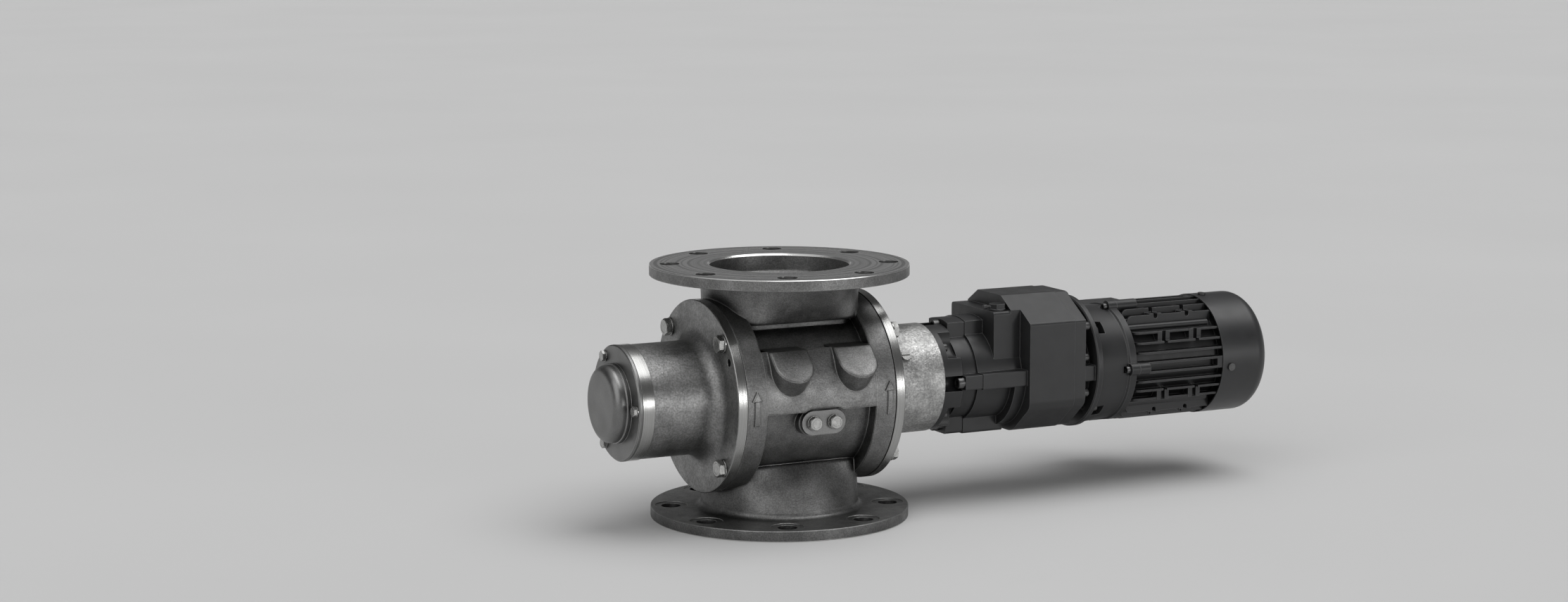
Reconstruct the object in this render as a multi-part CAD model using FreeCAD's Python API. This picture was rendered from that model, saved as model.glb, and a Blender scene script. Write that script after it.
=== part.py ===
import FreeCAD, Part
import math
import os

# Rotary airlock valve with a coaxial geared motor, in millimetres.
# Origin: centre of the outlet flange's lower face. +Z is up, towards the inlet.
# +X runs along the rotor axis towards the drive, and -Y is the front.

Vector = FreeCAD.Vector

# Flanges and necks
body_height = 280.0
flange_radius = 142.5
flange_thickness = 12.0
flange_bolt_inset = 22.5
flange_bolt_count = 8
flange_hole_diameter = 22.0
flange_spotface_diameter = 36.0
flange_spotface_depth = 0.8
flange_fillet = 7.0
flange_edge = 0.6
port_diameter = 153.0
port_chamfer = 2.0
neck_radius = 87.0
neck_half_length = 75.0
neck_corner = 24.0
neck_wall = 8.0
neck_rounding = 4.0
throat_corner = 10.0
inlet_lip_height = 82.0
inlet_lip_depth = 60.0
inlet_lip_overhang = 12.0
outlet_shoulder_drop = 72.5
outlet_shoulder_depth = 57.0

# Screws, as shares of the thread's diameter
washer_height = 0.2
hex_head_height = 0.65
hex_head_flats = 1.7
socket_head_radius = 0.8
socket_flats = 0.75
socket_bottom = 0.45

# Drum of the casting
body_length = 180.0
bore_radius = 80.0
drum_wall = 10.0
end_flange_radius = 105.0
end_flange_width = 25.0
end_flange_edge = 1.2
band_top_angle = 33.7
band_bottom_angle = -4.0
boss_radius = 22.5
boss_spacing = 77.0
boss_offset = 2.5
boss_tilt = 45.0
boss_face_out = 107.5
boss_face_up = 45.5
boss_depth = 48.0
boss_edge = 1.5

# Purge port and its cover plate
port_plate_length = 52.0
port_plate_width = 26.0
port_plate_thickness = 5.0
port_plate_offset = 2.0
port_plate_drop = 20.0
port_pad_out = 98.0
port_relief = 3.0
port_hole_diameter = 10.0
port_bolt_spacing = 24.5
port_bolt_diameter = 8.0
port_bolt_depth = 8.0
port_pad_edge = 1.5

# End covers
cover_radius = 105.5
cover_thickness = 10.5
cover_fillet = 16.0
cover_chamfer = 0.8
cover_bolt_circle = 190.0
cover_bolt_count = 4
cover_bolt_diameter = 10.0
cover_bolt_grip = 18.0
jack_hole_diameter = 8.5
jack_hole_angle = 149.0
spigot_clearance = 0.05
free_barrel_radius = 62.0
free_barrel_length = 102.0
free_band_radius = 62.8
free_band_length = 14.0
drive_barrel_radius = 61.0
drive_barrel_length = 86.0
lantern_bore_radius = 45.0
lantern_plug_radius = 5.5
lantern_plug_height = 3.0
lantern_plug_depth = 9.0
lantern_plug_offset = 29.5
lantern_plug_tilt = 34.0
lantern_plug_slot = 1.6
seal_shoulder = 4.0
screw_hole_gap = 0.2

# Rotor and its shaft
vane_count = 8
vane_thickness = 6.0
rotor_length = 116.0
rotor_tip_gap = 0.15
rotor_end_gap = 0.15
pocket_radius = 16.0
shaft_radius = 20.0
shaft_gap = 2.0
shaft_free_end = 196.0
hub_fit = 0.02
drive_end_radius = 17.5
key_width = 10.0
key_height = 8.0
key_length = 50.0
key_middle = 24.0
key_depth_share = 0.625
key_fit = 0.02
shaft_step_lead = 12.0
shaft_end_reach = 4.0
shaft_chamfer = 1.5

# Shaft seals and rotor bearings
seal_radius = 31.0
seal_width = 8.0
seal_count = 3
seal_lip_gap = 0.1
seal_room = 3.0
seal_lip_share = 0.4
bearing_bore_radius = 20.0
bearing_outer_radius = 40.0
bearing_width = 18.0
bearing_ring_wall = 6.0
ball_radius = 6.0
ball_count = 8
ball_gap = 0.1
cage_wall = 3.6
cage_width = 14.4
bearing_fit = 0.02
drive_bearing_start = 32.0
retainer_width = 1.75
retainer_groove = 1.25
retainer_height = 3.5
retainer_fit = 0.02
retainer_opening = 8.0

# Bearing cap at the free end
cap_radius = 63.0
cap_plate = 4.0
cap_edge = 1.4
cap_hub_radius = 42.0
cap_hub_length = 18.0
cap_hub_rounding = 9.0
cap_hub_foot = 5.0
cap_hub_step = 1.2
cap_wall = 5.0
cap_recess_radius = 34.0
cap_screw_circle = 110.0
cap_screw_count = 3
cap_screw_diameter = 6.0
cap_screw_depth = 12.0

# Front casting of the gear unit: its flange, scalloped collar and screw lugs
flange_plate_radius = 60.0
flange_plate_thickness = 7.0
flange_length = 24.0
flange_pilot = 5.0
flange_notch_radius = 8.7
scallop_circle = 132.0
scallop_radius = 20.0
front_length = 22.0
lug_step = 1.0
case_screw_circle = 114.0
case_screw_diameter = 8.0
case_screw_length = 40.0
output_seal_width = 7.0
output_seal_wall = 9.5
lantern_screw_circle = 106.0
lantern_screw_diameter = 6.0
lantern_screw_length = 20.0

# Gear case
barrel_length = 45.0
barrel_radius = 50.0
barrel_step = 2.5
lug_edge = 1.5
least_rounding = 1.0
side_lug_reach = 65.0
side_lug_height = 18.0
side_lug_length = 79.0
top_lug_reach = 66.5
top_lug_width = 44.0
bottom_lug_reach = 66.0
bottom_lug_width = 40.0
bottom_lug_length = 73.0
middle_box_length = 34.0
middle_box_half_width = 47.8
middle_box_top = 75.0
belly_radius = 62.0
belly_length = 14.0
roof_lead = 12.6
case_length = 59.0
case_half_width = 70.5
case_side_top = 61.6
case_side_bottom = 33.7
case_roof_half_width = 25.3
case_roof = 90.2
case_floor = 66.0
case_floor_half_width = 31.7
case_floor_rounding = 26.0
case_low_rounding = 14.0
case_wall = 5.5
case_rounding = 4.0
case_web = 6.0
gear_cover_thickness = 14.5
cover_neck_radius = 58.0
cover_neck_length = 13.5
motor_flange_radius = 76.0
motor_flange_thickness = 8.0
motor_flange_rise = 4.5
cover_lug_height = 18.0
cover_inset = 0.7
cover_ear_inset = 1.0
cover_room_wall = 2.0
cover_screw_diameter = 6.0
cover_screw_inset = 6.5
cover_screw_depth = 6.0
cover_screw_rises = (-22.0, 18.0, 54.0)
cover_screw_spread = 18.0
cover_top_screw_drop = 1.0

# Gear train
gear_module = 1.5
pinion_teeth = 12
wheel_teeth = 48
pressure_angle = 20.0
tooth_addendum = 0.8
tooth_dedendum = 1.05
tooth_backlash = 0.15
wheel_width = 18.0
wheel_bore_fit = 0.02
first_wheel_width = 14.0
pinion_overlap = 1.0
wheel_web_recess = 4.0
wheel_rim_modules = 4.5
output_hub_wall = 3.0
counter_hub_wall = 4.0
hollow_shaft_radius = 22.5
hollow_shaft_fit = 0.02
hollow_shaft_lead = 2.0
output_wheel_start = 59.0
input_wheel_start = 100.0
output_bearing_radius = 37.5
output_bearing_width = 16.0
output_bearing_wall = 4.5
rear_bearing_radius = 34.0
rear_bearing_width = 12.0
rear_bearing_wall = 3.5
counter_radius = 8.0
counter_journal_radius = 6.0
counter_bearing_radius = 16.0
counter_bearing_width = 10.0
counter_bearing_wall = 3.2
counter_boss_wall = 4.0
counter_overlap = 2.0
counter_seat_inset = 1.0
motor_seal_width = 7.0

# Vent plug and drain plug
vent_flats = 17.0
vent_height = 6.0
vent_offset = 35.0
vent_nozzle_length = 9.0
vent_nozzle_radius = 1.7
vent_tip_radius = 2.7
vent_inset = 11.0
vent_stem_radius = 4.0
vent_collar_height = 1.5
vent_collar_radius = 9.52
drain_stem_radius = 5.0
plug_radius = 8.0
plug_height = 4.0

# Motor
adapter_length = 39.0
adapter_radius = 68.0
adapter_wall = 8.0
adapter_groove = 2.0
adapter_edge = 1.0
shield_ring_length = 11.0
shield_ring_radius = 68.0
flange_screw_circle = 124.0
flange_screw_diameter = 6.0
flange_screw_length = 11.0
flange_pocket_width = 17.0
flange_pocket_floor = 55.0
flange_pocket_lead = 7.0
flange_pocket_length = 13.0
flange_seat = 3.0
ear_circle = 136.0
ear_radius = 7.0
ear_angles = (0.0, 104.0, 180.0, 284.0)
side_ear_length = 14.0
top_ear_length = 27.0
tie_screw_diameter = 5.0
tie_screw_length = 22.0
tie_head_gap = 0.5
tie_head_lead = 2.0
housing_length = 117.0
housing_radius = 59.0
housing_bore = 50.0
fin_radius = 69.0
fin_pitch = 11.0
fin_thickness = 2.4
fin_pairs = 4
fin_setback = 3.0
fin_rounding = 7.0
fin_root = 6.0
foot_pad_length = 16.0
foot_pad_height = 2.0
foot_pad_slot = 5.4
foot_pad_slot_depth = 6.0
foot_pad_places = (42.0, 85.0)
channel_end_length = 14.0
tie_bar_radius = 4.0
tie_bar_gap = 7.0
core_length = 74.0
core_start = 22.0
core_inner_radius = 31.0
winding_length = 11.0
winding_inner_radius = 34.0
winding_outer_radius = 47.0
winding_bevel = 3.0
end_ring_length = 6.0
end_ring_depth = 9.0
end_ring_step = 2.0
air_gap = 0.3
motor_shaft_radius = 8.5
motor_shaft_chamfer = 1.0
pinion_journal_radius = 5.0
motor_bearing_radius = 20.0
motor_bearing_width = 12.0
motor_bearing_wall = 3.6
motor_bearing_inset = 7.0
end_shield_thickness = 10.0
end_shield_rim = 16.0
shield_spigot = 4.0
shield_hub_wall = 6.0
shield_plate = 5.0
shield_cone_wall = 8.0
cowl_radius = 70.0
cowl_length = 66.0
cowl_wall = 1.6
cowl_rounding = 16.0
cowl_slot_width = 3.0
cowl_slot_radii = (22.0, 32.0, 42.0)
cowl_slot_bridge = 12.0
cowl_screw_count = 4
cowl_screw_turn = 5.5
cowl_screw_offset = 11.0
cowl_screw_radius = 2.5
cowl_screw_head = 2.2
cowl_screw_rim = 2.0
cowl_lug_foot = 3.0
fan_radius = 56.0
fan_blades = 8
fan_width = 20.0
fan_clearance = 6.0
fan_hub_wall = 8.0
fan_plate = 2.5
fan_blade_thickness = 2.2

# Terminal box
box_length = 76.0
box_height = 105.0
box_depth = 44.0
box_wall = 4.0
box_rounding = 9.0
box_start = 16.0
box_floor = 8.0
box_sink = 2.0
box_fit = 0.05
saddle_inset = 8.0
saddle_depth = 22.0
entry_spacing = 38.0
entry_offset = 4.0
lid_thickness = 9.0
lid_plate = 3.0
lid_screw_radius = 4.0
lid_screw_height = 2.5
gland_radius = 11.0
gland_length = 10.0
gland_step = 3.0

# Derived places along the rotor axis
axis_height = body_height / 2.0
flange_bolt_circle = 2.0 * (flange_radius - flange_bolt_inset)
half_body = body_length / 2.0
drum_half = half_body - end_flange_width
drum_radius = bore_radius + drum_wall
rotor_half = rotor_length / 2.0
spigot_face = rotor_half + rotor_end_gap
cap_start = half_body + free_barrel_length
gear_start = half_body + drive_barrel_length
case_start = gear_start + flange_length
front_end = case_start + front_length
middle_start = case_start + barrel_length
box_x = middle_start + middle_box_length
case_end = box_x + case_length
gear_cover_end = case_end + gear_cover_thickness
motor_flange_start = gear_cover_end + cover_neck_length
adapter_start = motor_flange_start + motor_flange_thickness
ring_start = adapter_start + adapter_length
housing_start = ring_start + shield_ring_length
housing_end = housing_start + housing_length
cowl_end = housing_end + cowl_length
centre_distance = gear_module * (pinion_teeth + wheel_teeth) / 2.0
counter_height = axis_height + centre_distance
box_low = fin_radius - box_sink


def outline(corners, place):
    """Closed wire through (a, b, radius) corners: rounded above zero, bevelled below zero."""
    edges = []
    count = len(corners)
    trims = []
    for index, (a, b, radius) in enumerate(corners):
        here = Vector(a, b, 0)
        before = Vector(corners[index - 1][0], corners[index - 1][1], 0) - here
        after = Vector(corners[(index + 1) % count][0], corners[(index + 1) % count][1], 0) - here
        if radius == 0:
            trims.append((here, None, here))
            continue
        half = before.getAngle(after) / 2.0
        before.normalize()
        after.normalize()
        if radius < 0:
            trims.append((here - before * radius, "bevel", here - after * radius))
            continue
        reach = radius / math.tan(half)
        towards = before + after
        towards.normalize()
        middle = here + towards * (radius / math.sin(half) - radius)
        trims.append((here + before * reach, middle, here + after * reach))
    for index, (start, middle, end) in enumerate(trims):
        if middle == "bevel":
            edges.append(Part.makeLine(place(start), place(end)))
        elif middle is not None:
            edges.append(Part.Arc(place(start), place(middle), place(end)).toShape())
        following = trims[(index + 1) % count][0]
        if end.distanceToPoint(following) > 1e-6:
            edges.append(Part.makeLine(place(end), place(following)))
    return Part.Wire(edges)


def slab_x(corners, x_low, x_high):
    """Prism along X of an outline given as (y, z, radius)."""
    wire = outline(corners, lambda p: Vector(x_low, p.x, p.y))
    return Part.Face(wire).extrude(Vector(x_high - x_low, 0, 0))


def slab_y(corners, y_low, y_high):
    """Prism along Y of an outline given as (x, z, radius)."""
    wire = outline(corners, lambda p: Vector(p.x, y_low, p.y))
    return Part.Face(wire).extrude(Vector(0, y_high - y_low, 0))


def slab_z(corners, z_low, z_high):
    """Prism along Z of an outline given as (x, y, radius)."""
    wire = outline(corners, lambda p: Vector(p.x, p.y, z_low))
    return Part.Face(wire).extrude(Vector(0, 0, z_high - z_low))


def turned(corners, height=axis_height):
    """Solid turned about the X line at a height, from an (x, r, radius) outline."""
    wire = outline(corners, lambda p: Vector(p.x, 0, height + p.y))
    return Part.Face(wire).revolve(Vector(0, 0, height), Vector(1, 0, 0), 360)


def bar(x_low, x_high, radius, y=0.0, z=axis_height):
    """Cylinder along X."""
    return Part.makeCylinder(radius, x_high - x_low, Vector(x_low, y, z), Vector(1, 0, 0))


def tube(x_low, x_high, outer, inner, z=axis_height):
    """Ring along X about the line at a height."""
    return bar(x_low, x_high, outer, z=z).cut(bar(x_low - 1, x_high + 1, inner, z=z))


def post(z_low, z_high, radius, x=0.0, y=0.0):
    """Cylinder along Z."""
    return Part.makeCylinder(radius, z_high - z_low, Vector(x, y, z_low))


def box(x_low, x_high, y_low, y_high, z_low, z_high):
    """Block between two corners."""
    return Part.makeBox(x_high - x_low, y_high - y_low, z_high - z_low, Vector(x_low, y_low, z_low))


def rectangle(a_half, b_low, b_high, radius=0.0):
    """Corners of a rectangle centred on a, from b_low to b_high."""
    return [
        (-a_half, b_low, radius),
        (a_half, b_low, radius),
        (a_half, b_high, radius),
        (-a_half, b_high, radius),
    ]


def on_circle(radius, angle, height=axis_height):
    """(y, z) of a point on a circle round the X line, the angle taken from +Y towards +Z."""
    turn = math.radians(angle)
    return radius * math.cos(turn), height + radius * math.sin(turn)


def about_axis(shape, angle, height=axis_height):
    """Copy of a shape turned about the X line at a height."""
    copy = shape.copy()
    copy.rotate(Vector(0, 0, height), Vector(1, 0, 0), angle)
    return copy


def mirror_front(shape):
    """Copy of a shape mirrored from the front to the rear."""
    return shape.mirror(Vector(0, 0, 0), Vector(0, 1, 0))


def joined(shapes):
    """One solid from overlapping shapes."""
    return shapes[0].multiFuse(shapes[1:])


def group(shapes):
    """Separate solids kept together in one file."""
    return Part.makeCompound(shapes)


def save(name, shape):
    """Write one sub-part."""
    shape.exportStep("parts/" + name + ".step")


def bar_between(start, end, radius, y, z):
    """Cylinder along X between two places, in either order."""
    return bar(min(start, end), max(start, end), radius, y, z)


def hexagon(flats, start, end, y, z):
    """Hexagonal prism along X between two places, in either order."""
    radius = flats / math.sqrt(3)
    corners = []
    for side in range(6):
        turn = math.radians(60 * side + 30)
        corners.append((y + radius * math.cos(turn), z + radius * math.sin(turn), 0))
    return slab_x(corners, min(start, end), max(start, end))


def hex_bolt(diameter, grip, facing, seat_x, y, z):
    """Hex bolt with its washer: head on the facing side of seat_x, shank the other way."""
    washer = washer_height * diameter
    head = hex_head_height * diameter
    parts = [
        bar_between(seat_x, seat_x + facing * washer, diameter, y, z),
        hexagon(hex_head_flats * diameter, seat_x, seat_x + facing * (washer + head), y, z),
        bar_between(seat_x, seat_x - facing * grip, thread_radius(diameter), y, z),
    ]
    return joined(parts)


def thread_radius(diameter):
    """Radius of a screw shank, a little under its hole."""
    return 0.5 * diameter - 0.05


def socket_screw(diameter, length, facing, seat_x, y, z):
    """Socket head cap screw: head on the facing side of seat_x, shank the other way."""
    head_end = seat_x + facing * diameter
    head = bar_between(seat_x, head_end, socket_head_radius * diameter, y, z)
    socket_end = seat_x + facing * socket_bottom * diameter
    socket = hexagon(socket_flats * diameter, socket_end, head_end, y, z)
    shank = bar_between(seat_x, seat_x - facing * length, thread_radius(diameter), y, z)
    return head.cut(socket).fuse(shank).removeSplitter()


def round_section(radius, corner, half_x, half_y, z):
    """Circle split into eight arcs that answer the sides and corners of a rounded rectangle."""
    side_x = math.degrees(math.atan2(half_y, half_x - corner))
    side_y = math.degrees(math.atan2(half_y - corner, half_x))
    stops = []
    for half_turn in (0, 180):
        stops += [half_turn + side_y, half_turn + side_x, half_turn + 180 - side_x, half_turn + 180 - side_y]
    edges = []
    for index, start in enumerate(stops):
        end = stops[(index + 1) % len(stops)]
        if end < start:
            end += 360
        points = []
        for angle in (start, (start + end) / 2.0, end):
            turn = math.radians(angle)
            points.append(Vector(radius * math.cos(turn), radius * math.sin(turn), z))
        edges.append(Part.Arc(*points).toShape())
    return Part.Wire(edges)


def square_section(corner, half_x, half_y, z):
    """Rounded rectangle that starts at the same corner as round_section."""
    corners = [
        (half_x, half_y, corner),
        (-half_x, half_y, corner),
        (-half_x, -half_y, corner),
        (half_x, -half_y, corner),
    ]
    return outline(corners, lambda p: Vector(p.x, p.y, z))


def neck(radius, corner, half_x, half_y, square_z, round_z):
    """Transition from a rounded rectangle to a circle."""
    square = square_section(corner, half_x, half_y, square_z)
    circle = round_section(radius, corner, half_x, half_y, round_z)
    return Part.makeLoft([square, circle], True)


def sector(x_low, x_high, inner, outer, start, end):
    """Part of a ring along X between two angles taken from +Y towards +Z."""
    middle = (start + end) / 2.0
    points = []
    for radius in (inner, outer):
        row = []
        for angle in (start, middle, end):
            y, z = on_circle(radius, angle)
            row.append(Vector(x_low, y, z))
        points.append(row)
    edges = [
        Part.Arc(*points[0]).toShape(),
        Part.makeLine(points[0][2], points[1][2]),
        Part.Arc(*points[1]).toShape(),
        Part.makeLine(points[1][0], points[0][0]),
    ]
    return Part.Face(Part.Wire(edges)).extrude(Vector(x_high - x_low, 0, 0))


def ring_places(count, circle, first):
    """(y, z) of places spread evenly on a circle round the rotor axis."""
    return [on_circle(circle / 2.0, first + 360.0 * index / count) for index in range(count)]


def pipe_flange(z_face, direction):
    """Round flange whose face is at z_face, with its fillet to the neck on the other side."""
    back = z_face - direction * flange_thickness
    tip = back - direction * flange_fillet
    corners = [
        (0, z_face, 0),
        (flange_radius, z_face, -flange_edge),
        (flange_radius, back, -flange_edge),
        (neck_radius, back, flange_fillet * 0.98),
        (neck_radius, tip, 0),
        (0, tip, 0),
    ]
    wire = outline(corners, lambda p: Vector(p.x, 0, p.y))
    return Part.Face(wire).revolve(Vector(0, 0, 0), Vector(0, 0, 1), 360)


def end_flanges():
    """Round flanges at both ends of the drum."""
    shapes = []
    for side in (-1, 1):
        low = min(side * half_body, side * drum_half)
        corners = [
            (low, 0, 0),
            (low, end_flange_radius, -end_flange_edge),
            (low + end_flange_width, end_flange_radius, -end_flange_edge),
            (low + end_flange_width, 0, 0),
        ]
        shapes.append(turned(corners))
    return shapes


def side_boss(x):
    """Slanted pad with a round lower end and a flat face, on the front band."""
    tilt = math.radians(boss_tilt)
    outward = Vector(0, -math.sin(tilt), math.cos(tilt))
    uphill = Vector(0, math.cos(tilt), math.sin(tilt))
    middle = Vector(x, -boss_face_out, axis_height + boss_face_up)
    left = middle - Vector(boss_radius, 0, 0)
    right = middle + Vector(boss_radius, 0, 0)
    rise = uphill * boss_depth
    edges = [
        Part.Arc(left, middle - uphill * boss_radius, right).toShape(),
        Part.makeLine(right, right + rise),
        Part.makeLine(right + rise, left + rise),
        Part.makeLine(left + rise, left),
    ]
    boss = Part.Face(Part.Wire(edges)).extrude(outward * -boss_depth)
    rim = []
    for edge in boss.Edges:
        offsets = [abs((vertex.Point - middle).dot(outward)) for vertex in edge.Vertexes]
        if max(offsets) < 0.01:
            rim.append(edge)
    return boss.makeChamfer(boss_edge, rim)


def bands():
    """Thick bands along the front and the rear of the drum, with two bosses each."""
    reach = drum_half + 1
    top = 180 - band_top_angle
    bottom = 180 - band_bottom_angle
    front = sector(-reach, reach, bore_radius + 1, end_flange_radius, top, bottom)
    shapes = [front, mirror_front(front)]
    band_top = axis_height + end_flange_radius * math.sin(math.radians(band_top_angle))
    below_top = box(-half_body, half_body, -flange_radius, 0, 0, band_top)
    for side in (-1, 1):
        boss = side_boss(boss_offset + side * boss_spacing / 2.0).common(below_top)
        shapes += [boss, mirror_front(boss)]
    return shapes


def neck_ends():
    """(z of the rounded rectangle, z of the circle, flange face z, direction, half depth) of both necks."""
    edge = flange_thickness + flange_fillet
    return (
        (axis_height + inlet_lip_height, body_height - edge, body_height, 1, inlet_lip_depth),
        (axis_height - outlet_shoulder_drop, edge, 0.0, -1, outlet_shoulder_depth),
    )


def necks():
    """Outer walls of both necks, with a rounded lip and a narrower foot on the drum, and their flanges."""
    shapes = []
    for square_z, round_z, face_z, direction, depth in neck_ends():
        outer = neck(neck_radius, neck_corner, neck_half_length, depth, square_z, round_z)
        lip = [edge for edge in outer.Edges if abs(edge.CenterOfMass.z - square_z) < 0.01]
        shapes.append(outer.makeFillet(neck_rounding, lip))
        foot = depth - (inlet_lip_overhang if direction > 0 else neck_rounding)
        block = rounded_block(neck_half_length - neck_rounding, foot, neck_corner - neck_rounding)
        ends = sorted((axis_height, square_z + direction * neck_rounding))
        shapes.append(slab_z(block, ends[0], ends[1]))
        shapes.append(pipe_flange(face_z, direction))
    return shapes


def passages():
    """Bore of the drum and the passages through both necks."""
    cuts = [bar(-half_body - 1, half_body + 1, bore_radius)]
    port_radius = port_diameter / 2.0
    inner_x = drum_half - neck_wall
    for square_z, round_z, face_z, direction, depth in neck_ends():
        inner_y = depth - neck_wall - (inlet_lip_overhang if direction > 0 else 0.0)
        cuts.append(neck(port_radius, throat_corner, inner_x, inner_y, square_z, round_z))
        ends = sorted((axis_height, square_z))
        cuts.append(slab_z(rounded_block(inner_x, inner_y, throat_corner), ends[0], ends[1]))
        ends = sorted((round_z, face_z + direction))
        cuts.append(post(ends[0], ends[1], port_radius))
        base = Vector(0, 0, face_z)
        inwards = Vector(0, 0, -direction)
        cuts.append(Part.makeCone(port_radius + port_chamfer, port_radius, port_chamfer, base, inwards))
    return cuts


def casting_holes():
    """Flange holes with their spotfaces, and the threaded holes for both end covers."""
    cuts = []
    top = body_height
    hole_radius = flange_hole_diameter / 2.0
    spot_radius = flange_spotface_diameter / 2.0
    spot = flange_thickness - flange_spotface_depth
    for index in range(flange_bolt_count):
        turn = math.radians(360.0 * (index + 0.5) / flange_bolt_count)
        x = flange_bolt_circle / 2.0 * math.cos(turn)
        y = flange_bolt_circle / 2.0 * math.sin(turn)
        cuts.append(post(-1, flange_thickness + 1, hole_radius, x, y))
        cuts.append(post(top - flange_thickness - 1, top + 1, hole_radius, x, y))
        cuts.append(post(spot, flange_thickness + 1, spot_radius, x, y))
    for y, z in ring_places(cover_bolt_count, cover_bolt_circle, 45):
        for side in (-1, 1):
            low = min(side * half_body, side * (half_body - cover_bolt_grip))
            cuts.append(bar(low - 1, low + cover_bolt_grip + 1, cover_bolt_diameter / 2.0, y, z))
    return cuts


def purge_port_cuts():
    """Relief round the purge pad, the port itself and its two threaded holes."""
    pad_z = axis_height - port_plate_drop
    cuts = [
        obround(
            port_plate_length + 2 * port_relief,
            port_plate_width + 2 * port_relief,
            -end_flange_radius - 1,
            -port_pad_out,
            pad_z,
        ),
        y_bore(port_plate_offset, pad_z, -port_pad_out - 1, -bore_radius + 2, port_hole_diameter / 2.0),
    ]
    for x in port_bolt_places():
        deep = -port_pad_out + port_bolt_depth + 1
        cuts.append(y_bore(x, pad_z, -port_pad_out - 1, deep, port_bolt_diameter / 2.0))
    return cuts


def body_casting():
    """One casting: drum, end flanges, thick bands, bosses, necks and pipe flanges."""
    pad = obround(
        port_plate_length + 2 * port_pad_edge,
        port_plate_width + 2 * port_pad_edge,
        -port_pad_out,
        -drum_radius + drum_wall / 2.0,
        axis_height - port_plate_drop,
    )
    drum = bar(-half_body, half_body, drum_radius)
    body = joined([drum, pad] + end_flanges() + bands() + necks())
    return body.cut(passages() + casting_holes() + purge_port_cuts()).removeSplitter()


def port_bolt_places():
    """X of the two bolts of the purge plate."""
    return (port_plate_offset - port_bolt_spacing / 2.0, port_plate_offset + port_bolt_spacing / 2.0)


def rounded_block(half_x, half_y, corner):
    """Corners of a rounded rectangle about the origin, as (x, y, radius)."""
    return [
        (half_x, half_y, corner),
        (-half_x, half_y, corner),
        (-half_x, -half_y, corner),
        (half_x, -half_y, corner),
    ]


def y_bore(x, z, y_low, y_high, radius):
    """Cylinder along Y."""
    return Part.makeCylinder(radius, y_high - y_low, Vector(x, y_low, z), Vector(0, 1, 0))


def obround(length, width, y_low, y_high, z):
    """Prism along Y with round ends, centred at the purge port."""
    half = width / 2.0
    straight = length / 2.0 - half
    middle = port_plate_offset
    shapes = [
        box(middle - straight, middle + straight, y_low, y_high, z - half, z + half),
        y_bore(middle - straight, z, y_low, y_high, half),
        y_bore(middle + straight, z, y_low, y_high, half),
    ]
    return joined(shapes)


def port_plate():
    """Cover plate of the purge port."""
    pad_z = axis_height - port_plate_drop
    face = -port_pad_out - port_plate_thickness
    plate = obround(port_plate_length, port_plate_width, face, -port_pad_out, pad_z)
    hole = port_bolt_diameter / 2.0 + screw_hole_gap
    return plate.cut([y_bore(x, pad_z, face - 1, -port_pad_out + 1, hole) for x in port_bolt_places()])


def port_bolts():
    """Two hex bolts with washers that hold the purge plate."""
    bolts = []
    for x in port_bolt_places():
        bolt = hex_bolt(port_bolt_diameter, port_plate_thickness + port_bolt_depth, -1, 0.0, 0.0, 0.0)
        bolt.rotate(Vector(0, 0, 0), Vector(0, 0, 1), 90)
        bolt.translate(Vector(x, -port_pad_out - port_plate_thickness, axis_height - port_plate_drop))
        bolts.append(bolt)
    return group(bolts)


def cover_holes(shape, side):
    """Bolt holes and jacking holes of an end cover."""
    low = min(side * half_body, side * (half_body + cover_thickness)) - 1
    high = low + cover_thickness + 2
    cuts = []
    for y, z in ring_places(cover_bolt_count, cover_bolt_circle, 45):
        cuts.append(bar(low, high, cover_bolt_diameter / 2.0 + screw_hole_gap, y, z))
    for y, z in ring_places(2, cover_bolt_circle, jack_hole_angle):
        cuts.append(bar(low, high, jack_hole_diameter / 2.0, y, z))
    return shape.cut(cuts)


def at_side(corners, side):
    """Profile measured outwards from the body's end face, put on one side of the valve."""
    return [(side * (half_body + x), r, radius) for x, r, radius in corners]


def free_end_cover():
    """End cover with the closed bearing housing."""
    inner = spigot_face - half_body
    band = free_barrel_length - free_band_length
    corners = [
        (inner, shaft_radius + shaft_gap, 0),
        (inner, bore_radius - spigot_clearance, 0),
        (0, bore_radius - spigot_clearance, 0),
        (0, cover_radius, 0),
        (cover_thickness, cover_radius, -cover_chamfer),
        (cover_thickness, free_barrel_radius, cover_fillet),
        (band, free_barrel_radius, 0),
        (band, free_band_radius, 0),
        (free_barrel_length, free_band_radius, -cover_chamfer),
        (free_barrel_length, bearing_outer_radius + bearing_fit, 0),
        (free_barrel_length - bearing_width, bearing_outer_radius + bearing_fit, 0),
        (free_barrel_length - bearing_width, bearing_outer_radius - seal_shoulder, 0),
        (seals_end(), bearing_outer_radius - seal_shoulder, 0),
        (seals_end(), seal_radius + bearing_fit, 0),
        (seals_start(), seal_radius + bearing_fit, 0),
        (seals_start(), shaft_radius + shaft_gap, 0),
    ]
    cover = cover_holes(turned(at_side(corners, -1)), -1)
    hole_end = -cap_start + cap_screw_depth + 2
    for y, z in ring_places(cap_screw_count, cap_screw_circle, 180):
        cover = cover.cut(bar(-cap_start - 1, hole_end, cap_screw_diameter / 2.0, y, z))
    return cover


def seals_start():
    """Inner end of the seal pack, from the body's end face."""
    return cover_thickness - seal_count * seal_width


def seals_end():
    """Outer end of the seal pack, from the body's end face."""
    return cover_thickness


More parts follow.
